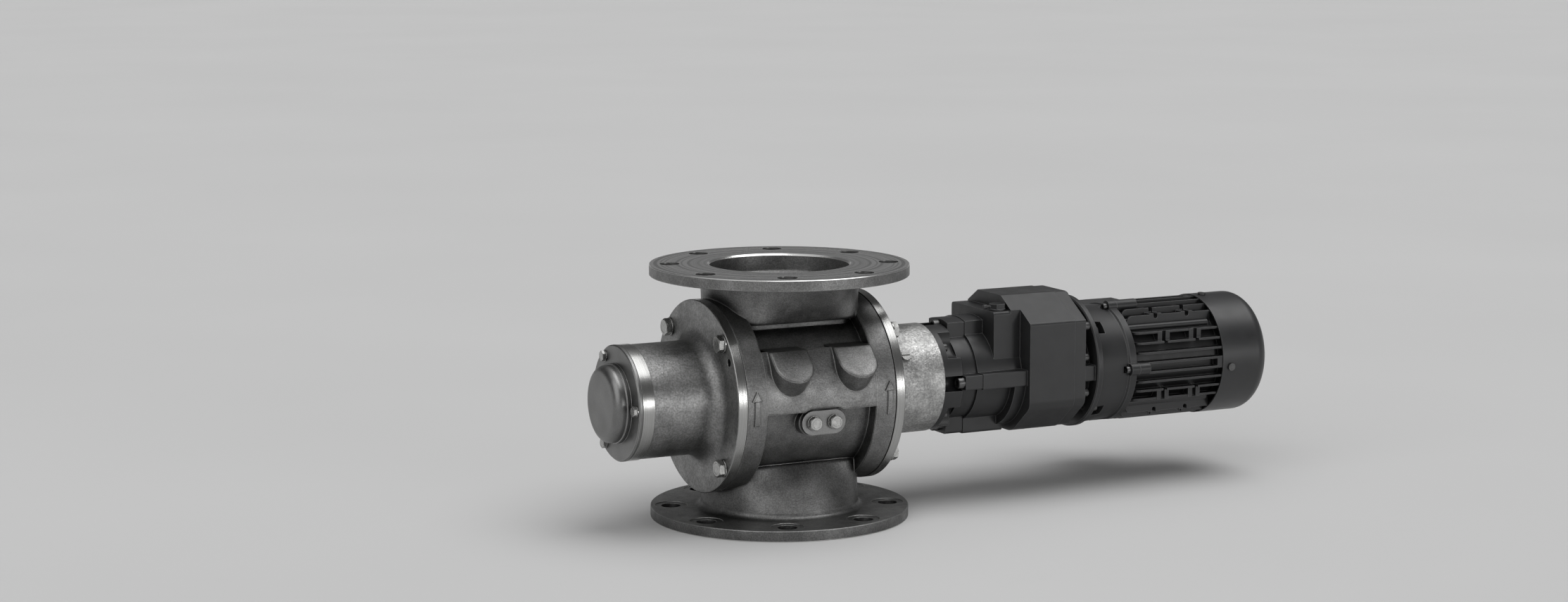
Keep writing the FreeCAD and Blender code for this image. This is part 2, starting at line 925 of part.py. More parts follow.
def drive_end_cover():
    """End cover whose barrel is the lantern that carries the gear unit."""
    inner = spigot_face - half_body
    bearing_end = drive_bearing_start + bearing_width
    corners = [
        (inner, shaft_radius + shaft_gap, 0),
        (inner, bore_radius - spigot_clearance, 0),
        (0, bore_radius - spigot_clearance, 0),
        (0, cover_radius, 0),
        (cover_thickness, cover_radius, -cover_chamfer),
        (cover_thickness, drive_barrel_radius, cover_fillet),
        (drive_barrel_length, drive_barrel_radius, -cover_chamfer),
        (drive_barrel_length, lantern_bore_radius, 0),
        (bearing_end, lantern_bore_radius, 0),
        (bearing_end, bearing_outer_radius + bearing_fit, 0),
        (drive_bearing_start, bearing_outer_radius + bearing_fit, 0),
        (drive_bearing_start, bearing_outer_radius - seal_shoulder, 0),
        (seals_end(), bearing_outer_radius - seal_shoulder, 0),
        (seals_end(), seal_radius + bearing_fit, 0),
        (seals_start(), seal_radius + bearing_fit, 0),
        (seals_start(), shaft_radius + shaft_gap, 0),
    ]
    cover = cover_holes(turned(at_side(corners, 1)), 1)
    for y, z in ring_places(4, lantern_screw_circle, 45):
        depth = lantern_screw_length - flange_plate_thickness + 1
        cover = cover.cut(bar(gear_start - depth, gear_start + 1, lantern_screw_diameter / 2.0, y, z))
    return cover.cut(lantern_plug_solid(lantern_plug_radius, drive_barrel_radius + 1))


def lantern_plug_solid(radius, reach):
    """Radial cylinder in the lantern's wall, at the plug's place."""
    tilt = math.radians(lantern_plug_tilt)
    outward = Vector(0, -math.cos(tilt), math.sin(tilt))
    inner = drive_barrel_radius - lantern_plug_depth
    start = Vector(half_body + cover_thickness + lantern_plug_offset, 0, axis_height) + outward * inner
    return Part.makeCylinder(radius, reach - inner, start, outward)


def lantern_plug():
    """Screwed plug with a slotted head in the lantern's wall."""
    top = drive_barrel_radius + lantern_plug_height
    plug = lantern_plug_solid(lantern_plug_radius - bearing_fit, top)
    half = lantern_plug_slot / 2.0
    x = half_body + cover_thickness + lantern_plug_offset
    reach = 2 * lantern_plug_radius
    slot = box(x - reach, x + reach, top - lantern_plug_slot, top + 1, axis_height - half, axis_height + half)
    return plug.cut(about_axis(slot, 180 - lantern_plug_tilt))


def end_cover_bolts():
    """Hex bolts that hold both end covers."""
    bolts = []
    for side in (-1, 1):
        seat = side * (half_body + cover_thickness)
        grip = cover_thickness + cover_bolt_grip - 1
        for y, z in ring_places(cover_bolt_count, cover_bolt_circle, 45):
            bolts.append(hex_bolt(cover_bolt_diameter, grip, side, seat, y, z))
    return group(bolts)


def shaft_seals():
    """Packs of shaft seal rings, one pack in each end cover."""
    rings = []
    for side in (-1, 1):
        for index in range(seal_count):
            start = seals_start() + index * seal_width
            corners = [
                (start, shaft_radius + seal_lip_gap, 0),
                (start, seal_radius, 0),
                (start + seal_width, seal_radius, 0),
                (start + seal_width, shaft_radius + seal_room, 0),
                (start + seal_width * seal_lip_share, shaft_radius + seal_lip_gap, 0),
            ]
            rings.append(turned(at_side(corners, side)))
    return group(rings)


def bearing_starts():
    """Signed inner and outer ends of the free-end and drive-end rotor bearings."""
    free = -(half_body + free_barrel_length - bearing_width)
    drive = half_body + drive_bearing_start
    return ((free - bearing_width, free), (drive, drive + bearing_width))


def bearing_middle(end):
    """X of the middle of a rotor bearing: end 0 is the free end, 1 the drive end."""
    low, high = bearing_starts()[end]
    return (low + high) / 2.0


def ball_circle():
    """Radius of the circle that the ball centres run on."""
    return (bearing_bore_radius + bearing_outer_radius) / 2.0


def race(end):
    """Torus that cuts the ball race into both rings of a rotor bearing."""
    centre = Vector(bearing_middle(end), 0, axis_height)
    return Part.makeTorus(ball_circle(), ball_radius + ball_gap, centre, Vector(1, 0, 0))


def rotor_bearing_outer_rings():
    """Outer rings of the two rotor bearings."""
    rings = []
    for end, (low, high) in enumerate(bearing_starts()):
        ring = tube(low, high, bearing_outer_radius, bearing_outer_radius - bearing_ring_wall)
        rings.append(ring.cut(race(end)))
    return group(rings)


def rotor_bearing_inner_rings():
    """Inner rings of the two rotor bearings."""
    rings = []
    for end, (low, high) in enumerate(bearing_starts()):
        ring = tube(low, high, bearing_bore_radius + bearing_ring_wall, bearing_bore_radius + hub_fit)
        rings.append(ring.cut(race(end)))
    return group(rings)


def balls(end, radius):
    """Balls of one rotor bearing, spread evenly round the axis."""
    shapes = []
    for y, z in ring_places(ball_count, 2 * ball_circle(), 0):
        shapes.append(Part.makeSphere(radius, Vector(bearing_middle(end), y, z)))
    return shapes


def ball_cage(end):
    """Cage of one rotor bearing: a ring with a round pocket for each ball."""
    low = bearing_middle(end) - cage_width / 2.0
    high = bearing_middle(end) + cage_width / 2.0
    ring = tube(low, high, ball_circle() + cage_wall / 2.0, ball_circle() - cage_wall / 2.0)
    return ring.cut(balls(end, ball_radius + ball_gap))


def rotor_shaft():
    """Stepped rotor shaft from the bearing cap to the gear unit's hollow shaft."""
    step = half_body + drive_bearing_start + bearing_width + shaft_step_lead
    end = case_start + output_wheel_start + wheel_width + shaft_end_reach
    groove_low = -(half_body + free_barrel_length) - retainer_width
    groove_high = groove_low + retainer_width
    corners = [
        (-shaft_free_end, 0, 0),
        (-shaft_free_end, shaft_radius - shaft_chamfer, 0),
        (-shaft_free_end + shaft_chamfer, shaft_radius, 0),
        (groove_low, shaft_radius, 0),
        (groove_low, shaft_radius - retainer_groove, 0),
        (groove_high, shaft_radius - retainer_groove, 0),
        (groove_high, shaft_radius, 0),
        (step, shaft_radius, 0),
        (step, drive_end_radius, 0),
        (end - shaft_chamfer, drive_end_radius, 0),
        (end, drive_end_radius - shaft_chamfer, 0),
        (end, 0, 0),
    ]
    shaft = turned(corners)
    return shaft.cut(key_block(0.0))


def key_block(clearance):
    """Space of the parallel key between the rotor shaft and the hollow shaft."""
    middle = case_start + key_middle
    bottom = axis_height + drive_end_radius - key_depth_share * key_height
    return box(
        middle - key_length / 2.0 + clearance,
        middle + key_length / 2.0 - clearance,
        -key_width / 2.0 + clearance,
        key_width / 2.0 - clearance,
        bottom + clearance,
        bottom + key_height - clearance,
    )


def shaft_key():
    """Parallel key."""
    return key_block(key_fit)


def retaining_ring():
    """Retaining ring that holds the free-end bearing on the shaft."""
    low = -(half_body + free_barrel_length) - retainer_width + retainer_fit
    high = low + retainer_width - 2 * retainer_fit
    ring = tube(low, high, shaft_radius + retainer_height, shaft_radius - retainer_groove + retainer_fit)
    half = retainer_opening / 2.0
    gap = box(low - 1, high + 1, -half, half, axis_height, axis_height + 2 * shaft_radius)
    return ring.cut(gap)


def rotor_vanes():
    """Rotor: radial vanes with round-bottomed pockets, on a hub round the shaft."""
    tip = bore_radius - rotor_tip_gap
    half = vane_thickness / 2.0
    tip_reach = math.sqrt(tip * tip - half * half)
    root = half / math.sin(math.pi / vane_count)
    corners = []
    for index in range(vane_count):
        turn = 2 * math.pi * (index + 0.5) / vane_count
        radial = Vector(math.cos(turn), math.sin(turn), 0)
        across = Vector(-math.sin(turn), math.cos(turn), 0)
        for side in (-1, 1):
            point = radial * tip_reach + across * (half * side)
            corners.append((point.x, point.y + axis_height, 0))
        pocket = turn + math.pi / vane_count
        corners.append((root * math.cos(pocket), root * math.sin(pocket) + axis_height, pocket_radius))
    vanes = slab_x(corners, -rotor_half, rotor_half)
    return vanes.cut(bar(-rotor_half - 1, rotor_half + 1, shaft_radius + hub_fit))


def bearing_cap():
    """Cap over the free-end bearing, with its round hub on a low foot."""
    plate_end = cap_start + cap_plate
    foot_end = plate_end + cap_hub_foot
    hub_end = plate_end + cap_hub_length
    inside = hub_end - cap_wall
    corners = [
        (-cap_start, cap_recess_radius, 0),
        (-cap_start, cap_radius, 0),
        (-plate_end, cap_radius, -cap_edge),
        (-plate_end, cap_hub_radius + cap_hub_step, 0),
        (-foot_end, cap_hub_radius + cap_hub_step, -cap_hub_step / 2.0),
        (-foot_end, cap_hub_radius, 0),
        (-hub_end, cap_hub_radius, cap_hub_rounding),
        (-hub_end, 0, 0),
        (-inside, 0, 0),
        (-inside, cap_recess_radius, -cap_wall / 2.0),
    ]
    cap = turned(corners)
    hole = cap_screw_diameter / 2.0 + screw_hole_gap
    for y, z in ring_places(cap_screw_count, cap_screw_circle, 180):
        cap = cap.cut(bar(-plate_end - 1, -cap_start + 1, hole, y, z))
    return cap


def bearing_cap_screws():
    """Small hex screws of the bearing cap."""
    grip = cap_plate + cap_screw_depth
    screws = []
    for y, z in ring_places(cap_screw_count, cap_screw_circle, 180):
        screws.append(hex_bolt(cap_screw_diameter, grip, -1, -cap_start - cap_plate, y, z))
    return group(screws)


def screw_lugs(x_low, side_end, top_end, bottom_end, inset):
    """Four lugs along the gear unit's barrel: both sides, top and bottom, each to its own end."""
    foot = barrel_radius - case_screw_diameter
    half = side_lug_height / 2.0 - inset
    shapes = []
    for side in (-1, 1):
        corners = [
            (side * foot, axis_height - half, 0),
            (side * (side_lug_reach - inset), axis_height - half, lug_edge),
            (side * (side_lug_reach - inset), axis_height + half, lug_edge),
            (side * foot, axis_height + half, 0),
        ]
        shapes.append(slab_x(corners, x_low, side_end))
    half = top_lug_width / 2.0 - inset
    crown = box(x_low, top_end, -half, half, axis_height + foot, body_height)
    shapes.append(bar(x_low, top_end, top_lug_reach - inset).common(crown))
    half = bottom_lug_width / 2.0 - inset
    low = axis_height - bottom_lug_reach + inset
    corners = [
        (-half, axis_height - foot, 0),
        (-half, low, 2 * lug_edge),
        (half, low, 2 * lug_edge),
        (half, axis_height - foot, 0),
    ]
    shapes.append(slab_x(corners, x_low, bottom_end))
    return shapes


def output_flange():
    """Front casting of the gear unit: notched flange, scalloped collar, bearing barrel and screw lugs."""
    plate_end = gear_start + flange_plate_thickness
    seal_bore = hollow_shaft_radius + output_seal_wall
    bearing_start = front_end - output_bearing_width
    corners = [
        (gear_start - flange_pilot, hollow_shaft_radius + shaft_gap, 0),
        (gear_start - flange_pilot, lantern_bore_radius - spigot_clearance, 0),
        (gear_start, lantern_bore_radius - spigot_clearance, 0),
        (gear_start, flange_plate_radius, 0),
        (case_start, flange_plate_radius, -lug_edge),
        (case_start, barrel_radius, 0),
        (front_end, barrel_radius, 0),
        (front_end, output_bearing_radius + bearing_fit, 0),
        (bearing_start, output_bearing_radius + bearing_fit, 0),
        (bearing_start, seal_bore, 0),
        (gear_start, seal_bore, 0),
        (gear_start, hollow_shaft_radius + shaft_gap, 0),
    ]
    lugs = screw_lugs(case_start, front_end, front_end, front_end, lug_step)
    hollow = bar(case_start - 1, front_end + 1, barrel_radius - lug_edge)
    casting = joined([turned(corners)] + [lug.cut(hollow) for lug in lugs])
    cuts = []
    for y, z in ring_places(4, scallop_circle, 45):
        cuts.append(bar(plate_end, case_start, scallop_radius, y, z))
    for y, z in ring_places(4, lantern_screw_circle, 45):
        cuts.append(bar(gear_start - 1, plate_end + 1, lantern_screw_diameter / 2.0 + screw_hole_gap, y, z))
    notch_start = case_screw_circle / 2.0
    slot = joined(
        [
            bar(gear_start - 1, case_start, flange_notch_radius, notch_start),
            box(
                gear_start - 1,
                case_start,
                notch_start,
                flange_plate_radius + 1,
                axis_height - flange_notch_radius,
                axis_height + flange_notch_radius,
            ),
        ]
    )
    hole = bar(case_start - 1, front_end + 1, case_screw_diameter / 2.0 + screw_hole_gap, notch_start)
    for quarter in range(4):
        cuts += [about_axis(slot, 90 * quarter), about_axis(hole, 90 * quarter)]
    return casting.cut(cuts)


def case_screws():
    """Cap screws that hold the front casting on the gear case."""
    screws = []
    for y, z in ring_places(4, case_screw_circle, 0):
        screws.append(socket_screw(case_screw_diameter, case_screw_length, -1, case_start, y, z))
    return group(screws)


def lantern_screws():
    """Cap screws that hold the output flange on the lantern."""
    seat = gear_start + flange_plate_thickness
    screws = []
    for y, z in ring_places(4, lantern_screw_circle, 45):
        screws.append(socket_screw(lantern_screw_diameter, lantern_screw_length, 1, seat, y, z))
    return group(screws)


def case_section(inset):
    """Cross-section of the gear case as (y, z, radius), drawn inwards by an inset."""
    rounding = max(case_rounding - inset, least_rounding)
    side = case_half_width - inset
    shoulder = case_side_top - 0.5 * inset
    roof_side = case_roof_half_width - 0.3 * inset
    low_side = case_side_bottom - 0.7 * inset
    floor_side = case_floor_half_width - 0.45 * inset
    return [
        (-side, axis_height - low_side, case_low_rounding),
        (-side, axis_height + shoulder, rounding),
        (-roof_side, axis_height + case_roof - inset, rounding),
        (roof_side, axis_height + case_roof - inset, rounding),
        (side, axis_height + shoulder, rounding),
        (side, axis_height - low_side, case_low_rounding),
        (floor_side, axis_height - case_floor + inset, case_floor_rounding),
        (-floor_side, axis_height - case_floor + inset, case_floor_rounding),
    ]


def case_outside():
    """Outer form of the gear case: barrel with lugs, middle box under its raised roof, belly and main box."""
    roof = axis_height + case_roof
    above = box(0, cowl_end, -middle_box_half_width, middle_box_half_width, axis_height, roof)
    belly_top = axis_height - side_lug_height / 2.0 + lug_edge
    below = box(0, cowl_end, -case_half_width, case_half_width, 0, belly_top)
    middle = rectangle(middle_box_half_width, axis_height, axis_height + middle_box_top, case_rounding)
    shapes = [
        slab_x(case_section(0.0), box_x, case_end),
        bar(front_end, box_x + 1, barrel_radius + barrel_step),
        slab_x(middle, middle_start, box_x + 1),
        slab_x(case_section(0.0), box_x - roof_lead, box_x + 1).common(above),
        bar(box_x - belly_length, box_x + 1, belly_radius).common(below),
    ]
    side_end = case_start + side_lug_length + 1
    bottom_end = case_start + bottom_lug_length
    return joined(shapes + screw_lugs(front_end, side_end, middle_start + 1, bottom_end, 0.0))


def gear_case():
    """Gear case with its bearing seats and screw holes, open at the motor side."""
    case = case_outside()
    rear_seat = box_x + case_web
    rear_seat_end = rear_seat + rear_bearing_width
    counter_start = middle_start + counter_seat_inset
    counter_end = counter_start + counter_bearing_width
    inner_half = middle_box_half_width - case_wall
    room = rectangle(inner_half, axis_height, axis_height + middle_box_top - case_wall, 2 * case_rounding)
    wheel_room = gear_module * wheel_teeth / 2.0 + case_rounding
    cuts = [
        slab_x(room, counter_end - 2, box_x),
        bar(middle_start - 1, box_x, wheel_room),
        slab_x(case_section(case_wall), rear_seat_end, case_end + 1),
        bar(front_end - 1, rear_seat_end + 1, hollow_shaft_radius + shaft_gap),
        bar(rear_seat, rear_seat_end + 1, rear_bearing_radius + bearing_fit),
        bar(counter_start, counter_end, counter_bearing_radius + bearing_fit, z=counter_height),
        bar(box_x - 1, rear_seat_end + 1, counter_radius + case_web, z=counter_height),
    ]
    for y, z in ring_places(4, case_screw_circle, 0):
        screw_end = case_start + case_screw_length + 1
        cuts.append(bar(front_end - 1, screw_end, case_screw_diameter / 2.0, y, z))
    for y, z in cover_screw_places():
        cuts.append(bar(case_end - cover_screw_depth - 1, case_end + 1, cover_screw_diameter / 2.0, y, z))
    vent_z = axis_height + middle_box_top - case_wall
    cuts.append(post(vent_z - 1, body_height, vent_stem_radius, middle_start + vent_inset, -vent_offset))
    floor_z = axis_height - case_floor
    cuts.append(post(floor_z - 1, floor_z + case_wall + 1, drain_stem_radius, box_x + case_length / 2.0))
    return case.cut(cuts)


def cover_screw_places():
    """(y, z) of the screws round the gear cover."""
    side = case_half_width - cover_screw_inset
    places = [(y, axis_height + rise) for y in (-side, side) for rise in cover_screw_rises]
    for y in (-cover_screw_spread, cover_screw_spread):
        places.append((y, axis_height + case_roof - cover_screw_inset - cover_top_screw_drop))
    return places


def gear_cover():
    """Cover of the gear case with the round neck and flange for the motor."""
    half = cover_lug_height / 2.0
    reach = case_half_width - cover_ear_inset
    corners = [
        (-reach, axis_height - half, lug_edge),
        (-reach, axis_height + half, lug_edge),
        (reach, axis_height + half, lug_edge),
        (reach, axis_height - half, lug_edge),
    ]
    disc = [
        (motor_flange_start, 0, 0),
        (motor_flange_start, motor_flange_radius, -lug_edge),
        (adapter_start, motor_flange_radius, -lug_edge),
        (adapter_start, 0, 0),
    ]
    disc_height = axis_height + motor_flange_rise
    shapes = [
        slab_x(case_section(cover_inset), case_end, gear_cover_end),
        bar(gear_cover_end - 1, motor_flange_start + 1, cover_neck_radius),
        slab_x(corners, gear_cover_end - 1, motor_flange_start + 1),
        turned(disc, disc_height),
    ]
    inside = slab_x(case_section(case_wall + case_rounding), case_end - 1, gear_cover_end - case_wall)
    boss_start = case_end - counter_overlap
    boss_radius = counter_bearing_radius + counter_boss_wall
    boss = bar(boss_start, gear_cover_end - 1, boss_radius, z=counter_height)
    cover = joined(shapes).cut(inside).fuse(boss)
    seal_start = adapter_start - motor_seal_width
    room_end = motor_flange_start - cover_room_wall
    seat_end = boss_start + counter_bearing_width
    holes = [
        bar(case_end - 1, adapter_start + 1, motor_shaft_radius + shaft_gap),
        bar(seal_start, adapter_start + 1, seal_radius_motor() + bearing_fit),
        bar(boss_start - 1, seat_end, counter_bearing_radius + bearing_fit, z=counter_height),
        tube(gear_cover_end, room_end, cover_neck_radius - case_wall, seal_radius_motor() + adapter_wall),
    ]
    for y, z in cover_screw_places():
        hole = cover_screw_diameter / 2.0 + screw_hole_gap
        holes.append(bar(case_end - 1, gear_cover_end + 1, hole, y, z))
    for y, z in ring_places(4, flange_screw_circle, 45):
        holes.append(bar(motor_flange_start - 1, adapter_start + 1, flange_screw_diameter / 2.0, y, z))
    return cover.cut(holes).removeSplitter()


def seal_radius_motor():
    """Outer radius of the oil seal on the motor shaft."""
    return 2.0 * motor_shaft_radius


def gear_cover_screws():
    """Cap screws round the gear cover."""
    length = gear_cover_thickness + cover_screw_depth
    screws = []
    for y, z in cover_screw_places():
        screws.append(socket_screw(cover_screw_diameter, length, 1, gear_cover_end, y, z))
    return group(screws)


def gear(teeth, width, x_low, height, phase):
    """Spur gear blank with involute flanks drawn as arcs; phase is the angle of one tooth's middle."""
    pitch = gear_module * teeth / 2.0
    base = pitch * math.cos(math.radians(pressure_angle))
    tip = pitch + tooth_addendum * gear_module
    root = pitch - tooth_dedendum * gear_module
    flank_start = max(root, base)

    def involute_angle(radius):
        ratio = math.sqrt(max(radius * radius / (base * base) - 1.0, 0.0))
        return ratio - math.atan(ratio)

    half_tooth = (math.pi * gear_module / 2.0 - tooth_backlash) / 2.0 / pitch
    offset = half_tooth + involute_angle(pitch)

    def point(radius, angle):
        return Vector(x_low, radius * math.cos(angle), height + radius * math.sin(angle))

    edges = []
    step = 2 * math.pi / teeth
    for index in range(teeth):
        middle = math.radians(phase) + index * step
        radii = (flank_start, (flank_start + tip) / 2.0, tip)
        rising = [point(r, middle - offset + involute_angle(r)) for r in radii]
        falling = [point(r, middle + offset - involute_angle(r)) for r in reversed(radii)]
        start = point(root, middle - offset + involute_angle(flank_start))
        end = point(root, middle + offset - involute_angle(flank_start))
        following = point(root, middle + step - offset + involute_angle(flank_start))
        if flank_start > root:
            edges.append(Part.makeLine(start, rising[0]))
        edges.append(Part.Arc(*rising).toShape())
        edges.append(Part.makeLine(rising[2], falling[0]))
        edges.append(Part.Arc(*falling).toShape())
        if flank_start > root:
            edges.append(Part.makeLine(falling[2], end))
        edges.append(Part.makeLine(end, following))
    return Part.Face(Part.Wire(edges)).extrude(Vector(width, 0, 0))


def wheel(width, x_low, height, phase, bore, hub):
    """Gear wheel with recessed webs on both faces."""
    blank = gear(wheel_teeth, width, x_low, height, phase)
    rim = gear_module * wheel_teeth / 2.0 - wheel_rim_modules * gear_module
    cuts = [bar(x_low - 1, x_low + width + 1, bore, z=height)]
    for low in (x_low - 1, x_low + width - wheel_web_recess):
        cuts.append(tube(low, low + wheel_web_recess + 1, rim, hub, height))
    return blank.cut(cuts)


def output_wheel():
    """Large wheel on the hollow output shaft."""
    start = case_start + output_wheel_start
    bore = hollow_shaft_radius + wheel_bore_fit
    return wheel(wheel_width, start, axis_height, 90.0, bore, hollow_shaft_radius + output_hub_wall)


def output_shaft():
    """Hollow output shaft that the rotor shaft plugs into."""
    end = box_x + case_web + rear_bearing_width
    start = gear_start - hollow_shaft_lead
    shaft = tube(start, end, hollow_shaft_radius, drive_end_radius + hollow_shaft_fit)
    return shaft.cut(key_block(0.0))


def output_shaft_seal():
    """Oil seal between the front casting and the hollow shaft."""
    outer = hollow_shaft_radius + output_seal_wall
    return tube(gear_start, gear_start + output_seal_width, outer, hollow_shaft_radius + seal_lip_gap)


def countershaft():
    """Countershaft with the pinion of the output stage cut on it."""
    low = middle_start + counter_seat_inset
    high = case_end - counter_overlap + counter_bearing_width
    pinion_low = case_start + output_wheel_start - pinion_overlap
    pinion_high = pinion_low + wheel_width + 2 * pinion_overlap
    phase = -90.0 + 180.0 / pinion_teeth
    pinion = gear(pinion_teeth, pinion_high - pinion_low, pinion_low, counter_height, phase)
    shapes = [
        bar(low, pinion_low + 1, counter_journal_radius, z=counter_height),
        pinion,
        bar(pinion_high - 0.5, case_end - counter_overlap, counter_radius, z=counter_height),
        bar(case_end - counter_overlap - 1, high, counter_journal_radius, z=counter_height),
    ]
    return joined(shapes)


def countershaft_wheel():
    """Large wheel of the input stage on the countershaft."""
    start = case_start + input_wheel_start
    bore = counter_radius + wheel_bore_fit
    return wheel(first_wheel_width, start, counter_height, -90.0, bore, counter_radius + counter_hub_wall)


def motor_pinion():
    """Pinion on the motor shaft."""
    low = case_start + input_wheel_start - pinion_overlap
    width = first_wheel_width + 2 * pinion_overlap
    pinion = gear(pinion_teeth, width, low, axis_height, 90.0 + 180.0 / pinion_teeth)
    return pinion.cut(bar(low - 1, low + width + 1, pinion_journal_radius + wheel_bore_fit))


def gear_bearing_places():
    """(x, width, bore radius, outer radius, wall, height) of the gear unit's bearings."""
    return [
        (
            front_end - output_bearing_width,
            output_bearing_width,
            hollow_shaft_radius,
            output_bearing_radius,
            output_bearing_wall,
            axis_height,
        ),
        (
            box_x + case_web,
            rear_bearing_width,
            hollow_shaft_radius,
            rear_bearing_radius,
            rear_bearing_wall,
            axis_height,
        ),
        (
            middle_start + counter_seat_inset,
            counter_bearing_width,
            counter_journal_radius,
            counter_bearing_radius,
            counter_bearing_wall,
            counter_height,
        ),
        (
            case_end - counter_overlap,
            counter_bearing_width,
            counter_journal_radius,
            counter_bearing_radius,
            counter_bearing_wall,
            counter_height,
        ),
    ]


def gear_bearing_outer_rings():
    """Outer rings of the gear unit's four bearings."""
    rings = []
    for x, width, bore, outer, wall, height in gear_bearing_places():
        rings.append(tube(x, x + width, outer, outer - wall, height))
    return group(rings)


def bearing_inner_rings(places):
    """Inner rings of the bearings in a list of places."""
    rings = []
    for x, width, bore, outer, wall, height in places:
        rings.append(tube(x, x + width, bore + wall, bore + bearing_fit, height))
    return group(rings)


def vent_plug():
    """Hex vent plug with a small nozzle, on the middle box."""
    top = axis_height + middle_box_top
    x = middle_start + vent_inset
    plug = hexagon(vent_flats, 0, vent_height, 0, 0)
    plug.rotate(Vector(0, 0, 0), Vector(0, 1, 0), -90)
    plug.translate(Vector(x, -vent_offset, top + vent_collar_height))
    nozzle_end = x - vent_flats / 2.0 - vent_nozzle_length
    nozzle_z = top + vent_collar_height + vent_height / 2.0
    shapes = [
        plug,
        post(top, top + vent_collar_height + 0.5, vent_collar_radius, x, -vent_offset),
        post(top - case_wall, top + 1, vent_stem_radius - bearing_fit, x, -vent_offset),
        bar(nozzle_end, x, vent_nozzle_radius, -vent_offset, nozzle_z),
        bar(nozzle_end, nozzle_end + 2 * vent_nozzle_radius, vent_tip_radius, -vent_offset, nozzle_z),
    ]
    return joined(shapes)


def drain_plug():
    """Oil drain plug in the gear case's floor."""
    x = box_x + case_length / 2.0
    floor_z = axis_height - case_floor
    head = post(floor_z - plug_height, floor_z, plug_radius, x)
    return head.fuse(post(floor_z - 1, floor_z + case_wall, drain_stem_radius - bearing_fit, x))


def ear(x_low, x_high, foot, angle):
    """Screw ear that stands on the ring inside it."""
    reach = ear_circle / 2.0
    web = box(x_low, x_high, foot, reach, axis_height - ear_radius, axis_height + ear_radius)
    return about_axis(web.fuse(bar(x_low, x_high, ear_radius, reach)), angle)


def ear_places():
    """(y, z) of the four tie screws."""
    return [on_circle(ear_circle / 2.0, angle) for angle in ear_angles]


def flange_pocket():
    """Wedge cut that gives a motor flange screw its seat, at the +Y side."""
    low = adapter_start + flange_seat
    half = flange_pocket_width / 2.0
    corners = [
        (low, flange_pocket_floor, 0),
        (low + flange_pocket_lead, flange_pocket_floor, 0),
        (low + flange_pocket_length, adapter_radius + 2, 0),
        (low, adapter_radius + 2, 0),
    ]
    wire = outline(corners, lambda p: Vector(p.x, p.y, axis_height - half))
    return Part.Face(wire).extrude(Vector(0, 0, 2 * half))


def motor_adapter():
    """Motor's drive-end casting: adapter tube, bearing seat and the ring with four ears."""
    outer = [
        (adapter_start, 0, 0),
        (adapter_start, adapter_radius + adapter_edge, -adapter_edge),
        (ring_start, adapter_radius - adapter_groove, 0),
        (ring_start, shield_ring_radius, -adapter_groove),
        (housing_start, shield_ring_radius, -adapter_edge),
        (housing_start, 0, 0),
    ]
    foot = shield_ring_radius - ear_radius
    ring_ears = [ear(ring_start, housing_start, foot, angle) for angle in ear_angles]
    adapter = joined([turned(outer)] + ring_ears)
    seat_low = motor_bearing_start()
    seat_high = seat_low + motor_bearing_width
    cuts = [
        bar(adapter_start - 1, housing_start + 1, motor_shaft_radius + shaft_gap),
        bar(seat_low, seat_high, motor_bearing_radius + bearing_fit),
        bar(seat_high, housing_start + 1, housing_bore),
        tube(
            adapter_start + adapter_wall,
            seat_high - 1,
            flange_pocket_floor - adapter_wall,
            motor_bearing_radius + adapter_wall,
        ),
    ]
    for y, z in ring_places(4, flange_screw_circle, 45):
        hole = flange_screw_diameter / 2.0 + screw_hole_gap
        cuts.append(bar(adapter_start - 1, adapter_start + flange_seat + 1, hole, y, z))
    for quarter in range(4):
        cuts.append(about_axis(flange_pocket(), 45 + 90 * quarter))
    head_room = socket_head_radius * tie_screw_diameter + tie_head_gap
    head_end = ring_start - tie_screw_diameter - tie_head_lead
    for y, z in ear_places():
        cuts.append(bar(ring_start - 1, housing_start + 1, tie_screw_diameter / 2.0 + screw_hole_gap, y, z))
        cuts.append(bar(head_end, ring_start, head_room, y, z))
    return adapter.cut(cuts)


def motor_bearing_start():
    """X of the drive-end motor bearing."""
    return ring_start - motor_bearing_width - motor_bearing_inset


def motor_flange_screws():
    """Cap screws that hold the motor on the gear cover."""
    seat = adapter_start + flange_seat
    screws = []
    for y, z in ring_places(4, flange_screw_circle, 45):
        screws.append(socket_screw(flange_screw_diameter, flange_screw_length, 1, seat, y, z))
    return group(screws)


def tie_screws():
    """Cap screws that hold the stator housing on the adapter."""
    screws = []
    for y, z in ear_places():
        screws.append(socket_screw(tie_screw_diameter, tie_screw_length, -1, ring_start, y, z))
    return group(screws)


def fin_reach(offset):
    """Half width of the finned circle at an offset from its middle, less the fin's own corner."""
    return math.sqrt(fin_radius**2 - (abs(offset) + fin_thickness / 2.0) ** 2)


def side_fins():
    """Fins of the +Y side, each with a rounded front end."""
    fins = []
    for index in range(-fin_pairs, fin_pairs):
        offset = (index + 0.5) * fin_pitch
        inner = math.sqrt(housing_radius**2 - offset**2) - fin_root
        corners = [
            (housing_start + fin_setback, inner, 0),
            (housing_start + fin_setback, fin_reach(offset), fin_rounding),
            (housing_end, fin_reach(offset), 0),
            (housing_end, inner, 0),
        ]
        low = axis_height + offset - fin_thickness / 2.0
        fins.append(slab_z(corners, low, low + fin_thickness))
    return fins


def channel_ends():
    """Webs that close the middle channel of the +Y side at both ends."""
    half = fin_pitch / 2.0
    reach = fin_reach(half)
    inner = housing_radius - fin_root
    low = axis_height - half
    high = axis_height + half
    return [
        box(housing_start, housing_start + channel_end_length, inner, reach, low, high),
        box(housing_end - channel_end_length / 2.0, housing_end, inner, reach, low, high),
    ]


